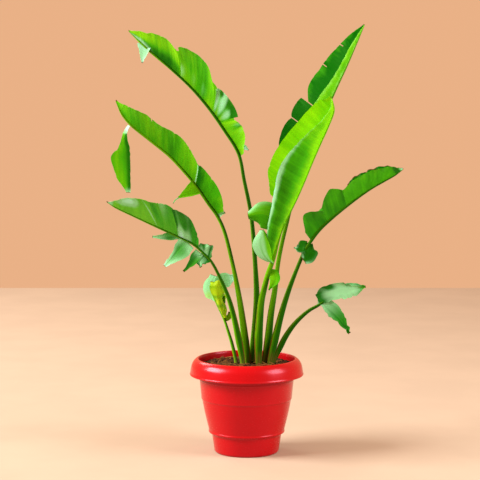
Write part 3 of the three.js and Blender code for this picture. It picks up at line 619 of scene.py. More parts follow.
class Path:
    """A smooth curve through points, as the part's source draws it (a centripetal Catmull-Rom spline)."""
    FINE = 40  # samples from one point to the next

    def __init__(self, points):
        points = np.array(points, float)
        before = 2 * points[0] - points[1]
        after = 2 * points[-1] - points[-2]
        padded = np.vstack([before, points, after])
        pieces = [self.piece(*padded[i : i + 4]) for i in range(len(points) - 1)]
        self.fine = np.vstack([*pieces, points[-1:]])
        steps = np.linalg.norm(np.diff(self.fine, axis=0), axis=1)
        self.reach = np.concatenate([[0], np.cumsum(steps)])
        self.length = self.reach[-1]

    def piece(self, p0, p1, p2, p3):
        k0, k1, k2 = (np.linalg.norm(b - a) ** 0.5 for a, b in ((p0, p1), (p1, p2), (p2, p3)))
        slope1 = ((p1 - p0) / k0 - (p2 - p0) / (k0 + k1) + (p2 - p1) / k1) * k1
        slope2 = ((p2 - p1) / k1 - (p3 - p1) / (k1 + k2) + (p3 - p2) / k2) * k1
        t = np.linspace(0, 1, self.FINE, endpoint=False)[:, None]
        square = -3 * p1 + 3 * p2 - 2 * slope1 - slope2
        cubic = 2 * p1 - 2 * p2 + slope1 + slope2
        return p1 + slope1 * t + square * t**2 + cubic * t**3

    def at(self, share):
        """Points at shares of the length."""
        mm = np.clip(share, 0, 1) * self.length
        return np.stack([np.interp(mm, self.reach, self.fine[:, k]) for k in range(3)], axis=-1)

    def by_points(self, share):
        """Points at shares of the way counted in given points, whatever their spacing."""
        place = np.clip(share, 0, 1) * (len(self.fine) - 1)
        index = np.arange(len(self.fine))
        return np.stack([np.interp(place, index, self.fine[:, k]) for k in range(3)], axis=-1)


def ahead_of(point_at, share, step=0.003):
    """Unit directions of a curve at shares of it."""
    return unit(point_at(np.minimum(share + step, 1)) - point_at(np.maximum(share - step, 0)))


def frames(leaf, share):
    """Place, direction, front side and upper side of a leaf at shares of its spine."""
    place = leaf["path"].at(share)
    ahead = ahead_of(leaf["path"].at, share)
    side = unit(FRONT - ahead * (ahead @ FRONT)[..., None])
    up = leaf["opens"] * np.cross(ahead, side)
    return place, ahead, side, up


def prepared(leaf):
    """A leaf with its spine as a path that starts down in the soil."""
    x, y, z = leaf["spine"][0]
    path = Path([(x, y, z - STALK_BURIED), *leaf["spine"]])
    return dict(leaf, path=path, blade_length=path.length * (1 - leaf["blade"]))


# ---------------------------------------------------------------- blades
TAPER_TO_MARGIN = 0.55  # how much thinner a blade gets towards its margin
ROUGHNESS = 0.5  # of a margin that has no other
ROUGH_WIDTH = 20  # a narrower half blade is less rough
NICK_SPACING = 30
NICK_WIDTH = 2.2
TEAR_DIP = 0.07  # share of the width by which a lobe is rounded off at a tear
TEAR_ROUNDING = 5
SLIT_REACH = 14  # how far along the blade a slit pushes its sides apart
STRIP_CUP = 1.5
CREASE_HEIGHT = 4 * MM
FRILL_HEIGHT = 2.2 * MM
UNDERSIDE = (0.16, 0.46, 0.05)
LIT_THROUGH = (0.32, 0.95, 0.01)  # what light takes on in a blade that it shines through
GREEN_SHEEN = (0.35, 1.0, 0.1)
SEA_SHARE = 0.35  # of the sea colour in a sea green leaf
SHARP_BLADE = math.radians(50)  # a blade's faces that meet at more than this stay sharp


def bent(fold, curl, share):
    """How far sideways and up the end of a unit strip lies that starts at angle fold and turns by curl."""
    start = np.radians(fold)
    turn = np.radians(np.where(np.abs(curl) < 0.1, 0.1, curl))
    end = start + turn * share
    return (np.sin(end) - np.sin(start)) / turn, (np.cos(start) - np.cos(end)) / turn


def ragged(draw, places, spacing, height):
    """Smooth random numbers up to about height along places in mm."""
    knots = draw.normal(0, 0.5, int(places.max() / spacing) + 3)
    return height * np.interp(places / spacing, np.arange(len(knots)), knots)


def nicks(draw, places, length):
    """Small notches along a margin of that length."""
    depth = np.zeros_like(places)
    for _ in range(int(length / NICK_SPACING)):
        middle = draw.uniform(0, length)
        deep = draw.uniform(0.6, 2.4)
        depth += deep * np.clip(1 - np.abs(places - middle) / NICK_WIDTH, 0, 1)
    return depth


def tinted(shape, s, across):
    """How light and how pale a sheet is at shares along and across it. The lightness holds painted shade
    and light besides the leaf's own greens, and the pale stands for bleached tissue and painted sheen.
    """
    tone = along(shape.get("tone", 0.5), across) + along(shape.get("shade", 0.0), s)[:, None]
    pale = along(shape.get("pale", 0.0), s)[:, None] * along(shape.get("pale_across", 1.0), across)
    for at, out, length, width, slant, lighter, paler in shape.get("marks", []):
        beside = (s[:, None] - at - slant * (across - out)) / length
        mark = np.exp(-(beside**2) - ((across - out) / width) ** 2)
        tone = tone + lighter * mark
        pale = pale + paler * mark
    return dict(tone=tone, pale=pale)


def lobe_width(lobe, draw, s, way, span):
    """A lobe's width along it, rough and nicked at its margin and rounded off at its tears."""
    width = along(lobe["widths"], s)
    rough = lobe.get("ragged", ROUGHNESS)
    uneven = ragged(draw, way, 4 + 3 / rough, rough) - nicks(draw, way, span) * min(1, rough * 1.6)
    width = np.maximum(width + uneven * np.minimum(1, width / ROUGH_WIDTH), 1)
    torn = []
    if lobe["start"] > 0.02:
        torn.append(way)
    if lobe["end"] < 1:
        torn.append(span - way)
    for distance in torn:
        width = width * (1 - TEAR_DIP * np.exp(-distance / TEAR_ROUNDING))
    return width


def open_slits(slits, points, ahead, cell):
    """Pushes a lobe's points apart beside its slits, and says which faces to keep."""
    columns, rows = points.shape[:2]
    keep = np.ones((columns - 1, rows - 1), bool)
    for share, reach, opening in slits:
        cut = int(round(share * (columns - 1)))
        first = int(round((1 - reach) * (rows - 1)))
        keep[cut, first:] = False
        apart = opening * np.clip((np.arange(rows) - first) / (rows - 1 - first), 0, None)
        offset = np.arange(columns) - cut - 0.5
        push = np.sign(offset) * np.exp(-(np.abs(offset) - 0.5) * cell / SLIT_REACH)
        points += ahead[:, None] * (push[:, None] * apart[None, :] / 2)[..., None]
    return keep


def lobe_sheet(leaf, lobe, number, cell):
    """One piece of a half blade between two tears, as a grid of points in mm with what its finish reads."""
    draw = np.random.default_rng(100 * number + len(leaf["spine"]))
    side = lobe["side"]
    blade_length = leaf["blade_length"]
    span = (lobe["end"] - lobe["start"]) * blade_length
    columns = max(6, round(span / cell)) + 1
    rows = max(8, round(max(lobe["widths"]) / (cell * 1.5))) + 1
    s = np.linspace(0, 1, columns)
    v = np.linspace(0, 1, rows)[None, :]
    t = lobe["start"] + (lobe["end"] - lobe["start"]) * s
    place, ahead, front, up = frames(leaf, leaf["blade"] + (1 - leaf["blade"]) * t)
    way = s * span
    width = lobe_width(lobe, draw, s, way, span)
    wide = width[:, None]
    out, rise = bent(along(lobe["fold"], s)[:, None], along(lobe["curl"], s)[:, None], v)
    phase = 2 * math.pi * t * blade_length / lobe.get("ripple", RIPPLE)
    swell = lobe.get("wave", WAVE) * np.sin(phase + side) * np.minimum(1, width / FULL_WAVE_WIDTH)
    swell = swell[:, None] * v**2
    shift = wide * np.tan(np.radians(along(lobe["lean"], s)))[:, None] * v
    points = (
        place[:, None]
        + front[:, None] * (side * (wide * out - swell * rise))[..., None]
        + up[:, None] * (wide * rise + swell * out)[..., None]
        + ahead[:, None] * shift[..., None]
    )
    keep = open_slits(lobe.get("slits", []), points, ahead, cell)
    tip = np.clip(1 - (1 - t) * blade_length / max(leaf["tip"], 0.01), 0, 1)[:, None]
    burnt = np.clip(ragged(draw, way, 5, 1) + 0.7, 0, 1)[:, None] * np.clip(v * 9 - 8, 0, 1)
    return dict(
        points=points, keep=keep, upper=side * leaf["opens"], across=v + 0 * wide,
        vein=(way + lobe["start"] * blade_length)[:, None] + 0 * v,
        dry=np.maximum(tip, lobe.get("singed", 0) * burnt), crumple=lobe.get("crumple", 1), number=number,
        **tinted(lobe, s, v),
    )


def strip_sheet(strip, number, cell):
    """A torn strip along a path of its own. Its veins run along it."""
    draw = np.random.default_rng(900 + number)
    path = Path(strip["path"])
    columns = max(8, round(path.length / cell)) + 1
    sides = strip.get("sides") or (strip["halves"], strip["halves"])
    rows = max(6, round((max(sides[0]) + max(sides[1])) / (cell * 1.2))) + 1
    s = np.linspace(0, 1, columns)
    across = np.linspace(-1, 1, rows)[None, :]
    way = s * path.length
    rough = strip.get("ragged", ROUGHNESS)
    left, right = (np.maximum(along(widths, s) + ragged(draw, way, 5, rough), 0.5) for widths in sides)
    half = np.where(across < 0, left[:, None], right[:, None])
    ahead = ahead_of(path.by_points, s)
    sideways = unit(np.cross(ahead, FRONT))
    sideways = turned(sideways, ahead, along(strip.get("turn", 0), s))
    proud = np.cross(sideways, ahead)
    points = (
        path.by_points(s)[:, None]
        + sideways[:, None] * (half * across)[..., None]
        - proud[:, None] * (strip.get("cup", STRIP_CUP) * (1 - across**2) + 0 * half)[..., None]
    )
    dry = np.clip(1 - (path.length - way) / max(strip.get("dry", 0), 0.01), 0, 1)
    return dict(
        points=points, keep=np.ones((columns - 1, rows - 1), bool), upper=1, vein=half * across,
        across=np.abs(across) * 0.9 + 0 * half, dry=dry[:, None] + 0 * across,
        crumple=strip.get("crumple", 0.8), number=number + 20, **tinted(strip, s, (across + 1) / 2),
    )


def plate_faces(keep):
    """Faces between two layers of grid points: both sides where keep says so, and the walls round them."""
    columns, rows = keep.shape[0] + 1, keep.shape[1] + 1
    count = columns * rows
    corner = np.arange(count).reshape(columns, rows)
    quads = np.stack([corner[:-1, :-1], corner[1:, :-1], corner[1:, 1:], corner[:-1, 1:]], -1)[keep]
    edges = np.concatenate([quads[:, [k, (k + 1) % 4]] for k in range(4)])
    code = edges[:, 0] * count + edges[:, 1]
    code_back = edges[:, 1] * count + edges[:, 0]
    a, b = edges[~np.isin(code, code_back)].T
    walls = np.stack([b, a, count + a, count + b], -1)
    return np.concatenate([quads, quads[:, ::-1] + count, walls])


def slab(name, sheets, thickness):
    """One mesh of thin closed plates round sheets of points."""
    points, faces = [], []
    fields = {key: [] for key in ("lift", "place", "tint", "under", "crumple")}
    total = 0
    for sheet in sheets:
        grid = sheet["points"]
        normal = unit(np.cross(np.gradient(grid, axis=0), np.gradient(grid, axis=1)))
        thin = thickness / 2 * (1 - TAPER_TO_MARGIN * sheet["across"] ** 4)[..., None]
        points += [(grid + normal * thin).reshape(-1, 3), (grid - normal * thin).reshape(-1, 3)]
        faces.append(plate_faces(sheet["keep"]) + total)
        count = grid.shape[0] * grid.shape[1]
        total += 2 * count
        numbers = np.full(grid.shape[:2], sheet["number"])
        both_faces = dict(
            lift=normal * sheet["upper"],
            place=np.stack([sheet["vein"], sheet["across"], numbers], -1),
            tint=np.stack([sheet["tone"], sheet["pale"], sheet["dry"]], -1),
        )
        for key, values in both_faces.items():
            fields[key] += 2 * [values.reshape(-1, 3)]
        fields["crumple"].append(np.full(2 * count, sheet["crumple"]))
        fields["under"].append(np.repeat([0.0, 1.0] if sheet["upper"] > 0 else [1.0, 0.0], count))
    mesh = bpy.data.meshes.new(name)
    mesh.from_pydata((np.concatenate(points) * MM).tolist(), [], np.concatenate(faces).tolist())
    for key, values in fields.items():
        store(mesh, key, np.concatenate(values))
    bm = bmesh.new()
    bm.from_mesh(mesh)
    bmesh.ops.delete(bm, geom=[vert for vert in bm.verts if not vert.link_faces], context="VERTS")
    bm.to_mesh(mesh)
    bm.free()
    return mesh


def vein_tree():
    """Pleats a blade along its veins and creases it, both faces alike."""
    nodes, given, end = geometry_tree("blade_veins", {
        "Vein Spacing": "Float", "Pleat": "Float", "Crease Length": "Float", "Material": "Material"})
    vein, across, number = nodes.parts(nodes.named("place"))
    # The drift makes pleats uneven in spacing and height.
    drift = nodes.noise(nodes.vector(vein * 0.05, across, number), 1, 1)
    vein = vein * MM
    count = vein / given["Vein Spacing"] + drift * 4
    wave = nodes.math("SINE", count * (2 * math.pi)) * drift
    fade = nodes.ramp(across, 0, 0.2) * nodes.ramp(across, 1.1, 0.5, 0.2, 1)
    pleat = wave * fade * given["Pleat"]
    where = nodes.vector(vein / given["Crease Length"], across * 0.7, number * 3.7)
    growth = across**1.3 * nodes.named("crumple", "FLOAT")
    crease = (nodes.noise(where, 1, 1) - 0.5) * growth * CREASE_HEIGHT
    where = nodes.vector(vein * 110, across, number * 5.1)
    frill = (nodes.noise(where, 1, 1) - 0.5) * across**5 * FRILL_HEIGHT
    offset = nodes.scaled(nodes.named("lift"), pleat + crease + frill)
    return end(nodes.value("GeometryNodeSetPosition", {"Geometry": given["Geometry"], "Offset": offset}))


def leaf_colour(nodes, settings, tint, share):
    """The colour of a blade, and the noises of its fine veins and of its broader bands."""
    vein, across, number = nodes.parts(nodes.attribute("place"))
    tone, pale, dry = nodes.parts(nodes.attribute("tint"))
    # Both noises change fast from vein to vein and slowly along a vein.
    where = nodes.vector(vein, across, number * 7)
    fine = nodes.noise(nodes.vector_math("MULTIPLY", where, (0.26, 1.1, 1)), 1, 1)
    bands = nodes.noise(nodes.vector_math("MULTIPLY", where, (0.075, 0.9, 1)), 1, 1)
    blotch = nodes.noise(nodes.value("ShaderNodeTexCoord", output="Object"), 22, 2)
    light = tone + (fine - 0.5) * 0.25 + (bands - 0.5) * 0.5 + (blotch - 0.5) * 0.4
    light = light + nodes.ramp(across, 0.07, 0.0, 0, 0.15)
    greens = nodes.add("ShaderNodeValToRGB", {"Fac": light})
    stops = greens.color_ramp.elements
    stops[0].color = rgba(settings.dark_green)
    stops[1].color = rgba(settings.light_green)
    stops.new(0.45).color = rgba(settings.mid_green)
    colour = nodes.mix(nodes.ramp(light, 0, 1, 0.3, 1) * share, Value(nodes, greens.outputs[0]), rgba(tint))
    # The pale turns the green to mint and then silver: bleached tissue, and in places a painted sheen.
    bleach_and_sheen = nodes.ramp(pale + (bands - 0.5) * 0.5, 0.15, 0.95)
    colour = nodes.mix(bleach_and_sheen, colour, rgba(settings.mint))
    colour = nodes.mix(nodes.ramp(pale, 1.0, 2.0), colour, rgba(settings.silver))
    colour = nodes.mix(nodes.attribute("under", "Fac") * 0.08, colour, rgba(UNDERSIDE))
    # The very margin is brown here and there, besides what is dry.
    edge = nodes.ramp(across, 0.986, 0.999) * nodes.ramp(bands, 0.5, 0.64)
    brown = nodes.math("MAXIMUM", edge * 0.5, nodes.ramp(dry + (fine - 0.5) * 0.6, 0.35, 0.75))
    return nodes.mix(brown, colour, rgba(settings.dry)), fine, bands


def leaf_material(name, settings, tint, share):
    """Green tissue that lets light through, with veins, painted shade and light in its greens, pale places
    that stand for bleached tissue and painted sheen, dry places and a paler underside.
    """
    material, nodes, surface, output = shader(name)
    colour, fine, bands = leaf_colour(nodes, settings, tint, share)
    bump = nodes.bump(fine, 0.25, 0.3 * MM)
    nodes.plug(surface, {
        "Base Color": colour, "Roughness": nodes.ramp(bands, 0.3, 0.7, 0.34, 0.46), "Normal": bump,
        "Specular IOR Level": 0.18, "Specular Tint": rgba(GREEN_SHEEN)})
    through = nodes.mix(0.5, colour, rgba(LIT_THROUGH), "MULTIPLY")
    glow = nodes.value("ShaderNodeBsdfTranslucent", {"Color": through, "Normal": bump})
    both = nodes.value("ShaderNodeMixShader", {0: 0.4, 1: Value(nodes, surface.outputs[0]), 2: glow})
    nodes.plug(output, {"Surface": both})
    return material


# ---------------------------------------------------------------- stalks
SHEATH_HEIGHT = 90  # how far up a stalk its sheath's margins stand out
SPREAD_HEIGHT = 170  # how far up a stalk is wider
SPREAD_START = 40
NECK_LENGTH = 0.12  # share of the spine along which the neck thins to the midrib
TIP_RADIUS = 0.4
TIP_START = 0.96  # share of the spine from which the tip runs to a point


def spine_line(name, leaf, step):
    """A line of points down a leaf's middle, with the radius and directions that the stalk tree reads."""
    path = leaf["path"]
    count = max(8, round(path.length / step)) + 1
    share = np.linspace(0.002, 1, count)
    place, _, side, up = frames(leaf, share)
    foot, neck, tip = leaf["radii"]
    blade = leaf["blade"]
    rib = leaf.get("rib", 0.75 * neck + 0.25 * tip)
    buried = STALK_BURIED / path.length
    radius = np.interp(share, [buried, blade, blade + NECK_LENGTH, TIP_START, 1],
                       [foot, neck, rib, tip, TIP_RADIUS])
    above = (share - buried) * path.length
    spread = np.clip(1 - above / SPREAD_HEIGHT, 0, 1) * np.interp(above, [0, SPREAD_START], [0, 1])
    mesh = bpy.data.meshes.new(name)
    mesh.from_pydata((place * MM).tolist(), [(i, i + 1) for i in range(count - 1)], [])
    store(mesh, "radius", radius * MM)
    store(mesh, "above", above)
    store(mesh, "rind", along(leaf["rind"], share))
    store(mesh, "sheath", np.clip(1 - np.maximum(above, 0) / SHEATH_HEIGHT, 0, 1) ** 2)
    store(mesh, "spread", leaf.get("spread", 1) * spread)
    store(mesh, "up", up)
    store(mesh, "side", side)
    store(mesh, "handed", np.full(count, -leaf["opens"]))
    return mesh


def stalk_tree():
    """Sweeps a round profile with a channel along the spine, and spreads the sheath's margins at the foot."""
    nodes, given, end = geometry_tree("stalk_sweep", {
        "Sides": "Int", "Channel": "Float", "Sheath": "Float", "Spread": "Float", "Material": "Material"})
    line = nodes.value("GeometryNodeMeshToCurve", {"Mesh": given["Geometry"]})
    line = nodes.value("GeometryNodeSetCurveNormal", {"Curve": line, "Normal": nodes.named("up")},
                       mode="FREE")
    circle = nodes.value("GeometryNodeCurvePrimitiveCircle", {"Resolution": given["Sides"], "Radius": 1.0})
    position = nodes.value("GeometryNodeInputPosition")
    # On the profile, x points to the leaf's upper side, where the channel is.
    x, y, _ = nodes.parts(position)
    dip = nodes.ramp(nodes.math("ABSOLUTE", y), 0.62, 0.05) * nodes.ramp(x, 0, 0.6)
    channelled = nodes.vector(x - dip * given["Channel"], y, 0.0)
    profile = nodes.value("GeometryNodeSetPosition", {"Geometry": circle, "Position": channelled})
    profile = nodes.value("GeometryNodeStoreNamedAttribute", {
        "Geometry": profile, "Name": "profile", "Value": position}, data_type="FLOAT_VECTOR")
    swept = nodes.value("GeometryNodeCurveToMesh", {
        "Curve": line, "Profile Curve": profile, "Scale": nodes.named("radius", "FLOAT"), "Fill Caps": True})
    # The wings are the sheath's margins on either side of the channel.
    x, y, _ = nodes.parts(nodes.named("profile"))
    stands_out = nodes.named("sheath", "FLOAT") * given["Sheath"]
    wing = y * nodes.ramp(x, -0.2, 0.7) * stands_out * nodes.named("handed", "FLOAT")
    wider = x * nodes.named("spread", "FLOAT") * given["Spread"]
    offset = nodes.vector_math("ADD", nodes.scaled(nodes.named("side"), wing),
                               nodes.scaled(nodes.named("up"), wider))
    return end(nodes.value("GeometryNodeSetPosition", {"Geometry": swept, "Offset": offset}))


def stalk_material(name, settings):
    """Green stalk with fine lengthwise lines, a flank painted lighter on the side the key light falls on,
    and reddish sheath margins.
    """
    material, nodes, surface, _ = shader(name)
    above = nodes.attribute("above", "Fac")
    x, y, _ = nodes.parts(nodes.attribute("profile"))
    around = nodes.math("ARCTAN2", y, x)
    # Lines are long and fine, and patches are shorter and broader.
    lines = nodes.noise(nodes.vector(above * 0.012, around * 5, 0.0), 1, 3, 0.6)
    patches = nodes.noise(nodes.vector(above * 0.03, around, 3.0), 1, 2)
    # Painted light: the flank on the left, which faces the key light, is lighter, most of all near the foot.
    flank = x * nodes.attribute("handed", "Fac") * nodes.ramp(above, 160, 0, 0.5, 0.9)
    light = nodes.attribute("rind", "Fac") + nodes.ramp(x, 0.1, -0.9) * 0.1 + flank
    light = light - nodes.ramp(above, 80, 0, 0, 0.2) + (lines - 0.5) * 1.2 + (patches - 0.5) * 0.4
    colour = nodes.mix(nodes.ramp(light, 0, 1), rgba(settings.colour), rgba(settings.light))
    channel_edge = nodes.ramp(x, 0.45, 0.7) * nodes.ramp(nodes.math("ABSOLUTE", y), 0.4, 0.6)
    rusty = nodes.ramp(above, 190, 10) * nodes.ramp(patches, 0.25, 0.5)
    colour = nodes.mix(channel_edge * rusty, colour, rgba(settings.margin))
    withered = nodes.ramp(above, 30, 2) * nodes.ramp(lines, 0.45, 0.6)
    colour = nodes.mix(withered, colour, rgba(settings.withered))
    nodes.plug(surface, {
        "Base Color": colour, "Roughness": nodes.ramp(lines, 0.2, 0.8, 0.42, 0.6),
        "Normal": nodes.bump(lines, 0.4, 0.3 * MM), "Specular IOR Level": 0.18,
        "Specular Tint": rgba(GREEN_SHEEN)})
    return material


# ---------------------------------------------------------------- pot
POT_FLOOR = 3.5
FOOT_RADIUS = 56
LIP_HEIGHT = 29
DRAIN_HOLES = 6
DRAIN_RADIUS = 4.5
DRAIN_CIRCLE = 34
NEAR_HALF = 0.48  # share of a side that the rounding of one corner may take
RED_SHEEN = (1.0, 0.36, 0.48)
SHARP_POT = math.radians(40)


def softened(corners, steps=5):
    """A profile of (radius, height, rounding) corners with each corner rounded by a curve of its own."""
    points = []
    for i, (radius, height, rounding) in enumerate(corners):
        here = np.array([radius, height], float)
        if rounding == 0 or i in (0, len(corners) - 1):
            points.append(here)
            continue
        before = np.array(corners[i - 1][:2], float) - here
        after = np.array(corners[i + 1][:2], float) - here
        reach = min(rounding, NEAR_HALF * np.linalg.norm(before), NEAR_HALF * np.linalg.norm(after))
        start = here + before / np.linalg.norm(before) * reach
        end = here + after / np.linalg.norm(after) * reach
        for t in np.linspace(0, 1, steps):
            points.append((1 - t) ** 2 * start + 2 * t * (1 - t) * here + t**2 * end)
    return points


def lathed(profile, segments):
    """A closed mesh turned about the Z axis. The profile starts and ends on the axis."""
    bm = bmesh.new()
    turns = [2 * math.pi * k / segments for k in range(segments)]
    rings = []
    for radius, height in profile:
        if radius < 1e-6:
            rings.append([bm.verts.new((0, 0, height * MM))] * segments)
            continue
        rings.append([bm.verts.new((radius * MM * math.cos(a), radius * MM * math.sin(a), height * MM))
                      for a in turns])
    for low, high in zip(rings, rings[1:]):
        for k in range(segments):
            n = (k + 1) % segments
            bm.faces.new(list(dict.fromkeys([low[k], low[n], high[n], high[k]])))
    bmesh.ops.recalc_face_normals(bm, faces=bm.faces)
    return bm


def pot_profile():
    """The pot's section: up the outside with its ledges, round the rolled lip and down the inside.

    Its corners are (radius, height, rounding)."""
    top = POT_HEIGHT
    rim = RIM_RADIUS
    low = top - LIP_HEIGHT
    outside = [
        (0, 0, 0), (54.5, 0, 0.6), (56.8, 2.4, 2.5), (60.9, 31.5, 5), (62.6, 34.6, 2), (66.3, 35.6, 1),
        (66.9, 36.6, 0.8), (67, 38.2, 0.8), (66.4, 39.4, 0.6), (66.9, 42, 2), (69.8, 54, 12), (74.1, 72, 12),
        (78.2, 94, 4), (79.2, 95, 0.5), (79.6, 96, 0.6), (79.6, 97, 0.5), (79.6, 98.6, 1), (81.9, 122, 8),
        (82.6, 128, 2), (83.2, 128.8, 0.4), (83.4, 129.8, 0.6), (83.2, 131, 0.5), (83.2, 132.4, 1),
        (84.4, top - 9, 4),
    ]
    lip = [
        (rim - 10.6, top - 7, 5), (rim - 5.6, low + 14, 6), (rim - 3.6, low + 2, 1), (rim - 2.4, low, 0.5),
        (rim - 0.6, low, 0.7), (rim, low + 1.6, 0.8), (rim - 0.9, low + 3.6, 2), (rim - 1.7, low + 9, 5),
        (rim - 3.4, low + 18, 7), (rim - 7.4, top - 4.2, 5), (rim - 12, top - 0.4, 4), (rim - 14.6, top, 1),
        (rim - 15.6, top - 0.8, 0.6), (rim - 16, top - 2.4, 0.8), (rim - 16.4, top - 4, 1.5),
        (rim - 17, top - 10, 2),
    ]
    inside = [
        (80.6, 130, 4), (76.8, 97, 8), (71.5, 72, 8), (63.4, 38, 2), (58.6, 32, 2),
        (FOOT_RADIUS - 1, POT_FLOOR, 2), (0, POT_FLOOR, 0),
    ]
    return softened(outside + lip + inside)


def drain_drills():
    """A ring of cylinders that cut the drain holes."""
    bm = bmesh.new()
    for k in range(DRAIN_HOLES):
        angle = 2 * math.pi * k / DRAIN_HOLES
        made = bmesh.ops.create_cone(bm, cap_ends=True, segments=32, radius1=DRAIN_RADIUS * MM,
                                     radius2=DRAIN_RADIUS * MM, depth=4 * POT_FLOOR * MM)
        shift = Vector((math.cos(angle), math.sin(angle), 0)) * DRAIN_CIRCLE * MM
        bmesh.ops.translate(bm, verts=made["verts"], vec=shift + Vector((0, 0, POT_FLOOR / 2 * MM)))
    return mesh_of(bm, "pot_drills")


def pot_material(settings):
    """Moulded plastic with faint turning lines and small scuffs."""
    material, nodes, surface, _ = shader("red_plastic")
    coordinate = nodes.value("ShaderNodeTexCoord", output="Object")
    height = nodes.parts(coordinate)[2]
    rings = nodes.noise(nodes.vector(0.0, 0.0, height * 420), 1, 2)
    cloud = nodes.noise(coordinate, 14, 3)
    scuffs = nodes.noise(nodes.vector_math("MULTIPLY", coordinate, (260, 260, 900)), 1, 2)
    deep = tuple(c * 0.88 for c in settings.plastic)
    nodes.plug(surface, {
        "Base Color": nodes.mix(nodes.ramp(cloud, 0.2, 0.8), rgba(deep), rgba(settings.plastic)),
        "Roughness": nodes.ramp(cloud, 0.3, 0.7, 0.23, 0.27) + nodes.ramp(scuffs, 0.62, 0.8, 0, 0.12),
        "Normal": nodes.bump(rings, 0.12, 0.2 * MM), "Specular IOR Level": 0.58,
        "Specular Tint": rgba(RED_SHEEN)})
    return material


# ---------------------------------------------------------------- soil
SOIL_GAP = 0.35  # between the soil and the pot's floor
SOIL_RINGS = 46
SOIL_SEGMENTS = 160
SOIL_SEED = 7
SWELL_HEIGHT = 1.6
CRUMB_HEIGHT = 0.7
LUMP_FROM_WALL = 1.2
FIBRE_FROM_WALL = 12.5


def soil_mesh():
    """Soil that fills the pot, with a finely uneven top."""
    floor = POT_FLOOR + SOIL_GAP
    wall = [(FOOT_RADIUS - 1 - SOIL_GAP, floor), (58.2, 32), (63, 38), (71.1, 72), (76.4, 97),
            (min(80.2, SOIL_RADIUS), 130)]
    slope = [(SOIL_RADIUS * (1 - k / SOIL_RINGS), SOIL_TOP - 1.5 * (1 - min(1, k / 6)))
             for k in range(SOIL_RINGS)]
    bm = lathed([(0, floor), *wall, *slope, (0, SOIL_TOP)], SOIL_SEGMENTS)
    draw = np.random.default_rng(SOIL_SEED)
    for vert in bm.verts:
        if vert.co.z < (SOIL_TOP - 2) * MM:
            continue
        x, y = vert.co.x / MM, vert.co.y / MM
        bumps = math.sin(x / 7) * math.cos(y / 9) + 0.6 * math.sin((x + 2 * y) / 5)
        fade = 1 - math.hypot(x, y) / SOIL_RADIUS / 2
        vert.co.z += (SWELL_HEIGHT * bumps * fade + draw.uniform(-CRUMB_HEIGHT, CRUMB_HEIGHT)) * MM
    mesh = mesh_of(bm, "soil_bed")
    mesh.polygons.foreach_set("use_smooth", [True] * len(mesh.polygons))
    return mesh


def lump_and_fibre(nodes, position):
    """The shapes that are scattered: a rough lump and a bent fibre, each about as large as 1."""
    sphere = nodes.value("GeometryNodeMeshIcoSphere", {"Radius": 0.5, "Subdivisions": 2})
    lump_noise = nodes.value("ShaderNodeTexNoise", {"Vector": position, "Scale": 2.6, "Detail": 1.0}, "Color")
    shake = nodes.scaled(nodes.vector_math("SUBTRACT", lump_noise, (0.5, 0.5, 0.5)), 0.7)
    lump = nodes.value("GeometryNodeSetPosition", {"Geometry": sphere, "Offset": shake})
    line = nodes.value("GeometryNodeCurvePrimitiveLine", {"Start": (-1.6, 0, 0), "End": (1.6, 0, 0)})
    line = nodes.value("GeometryNodeResampleCurve", {"Curve": line, "Count": 6})
    x = nodes.parts(position)[0]
    bend = nodes.vector(0.0, nodes.math("SINE", x) * 0.35, nodes.math("COSINE", x) * 0.3)
    line = nodes.value("GeometryNodeSetPosition", {"Geometry": line, "Offset": bend})
    thin = nodes.value("GeometryNodeCurvePrimitiveCircle", {"Resolution": 4, "Radius": 0.13})
    fibre = nodes.value("GeometryNodeCurveToMesh", {"Curve": line, "Profile Curve": thin, "Fill Caps": True})
    return lump, fibre


def grain_tree():
    """Scatters small lumps and fibres over the top of the soil."""
    nodes, given, end = geometry_tree("soil_scatter", {
        "Density": "Float", "Grain Size": "Float", "Seed": "Int", "Material": "Material"})
    position = nodes.value("GeometryNodeInputPosition")
    lump, fibre = lump_and_fibre(nodes, position)
    x, y, z = nodes.parts(position)
    top = nodes.math("GREATER_THAN", z, (SOIL_TOP - 6) * MM)
    from_middle = nodes.vector_math("LENGTH", nodes.vector(x, y, 0.0))
    joined = nodes.add("GeometryNodeJoinGeometry")
    for shape, share, smallest, largest, darkest, later_seed, from_wall in (
            (lump, 1.0, 0.3, 1.0, 0.0, 0.0, LUMP_FROM_WALL),
            (fibre, 0.22, 0.8, 1.7, 0.55, 50.0, FIBRE_FROM_WALL)):
        inside = nodes.math("LESS_THAN", from_middle, (SOIL_RADIUS - from_wall) * MM)
        seed = given["Seed"] + later_seed
        spots = nodes.value("GeometryNodeDistributePointsOnFaces", {
            "Mesh": given["Geometry"], "Selection": top * inside, "Density": given["Density"] * share,
            "Seed": seed})
        size = nodes.random(smallest, largest, seed + 1.0) * given["Grain Size"]
        scatter = nodes.value("GeometryNodeInstanceOnPoints", {
            "Points": spots, "Instance": shape, "Scale": nodes.vector(size, size * 0.8, size * 0.6),
            "Rotation": nodes.random((-0.5, -0.5, 0), (0.5, 0.5, 6.28), seed)})
        shaded = nodes.value("GeometryNodeStoreNamedAttribute", {
            "Geometry": scatter, "Name": "shade", "Value": nodes.random(darkest, darkest + 0.45, seed + 2.0)},
            domain="INSTANCE")
        nodes.plug(joined, {0: shaded})
    return end(Value(nodes, joined.outputs[0]))


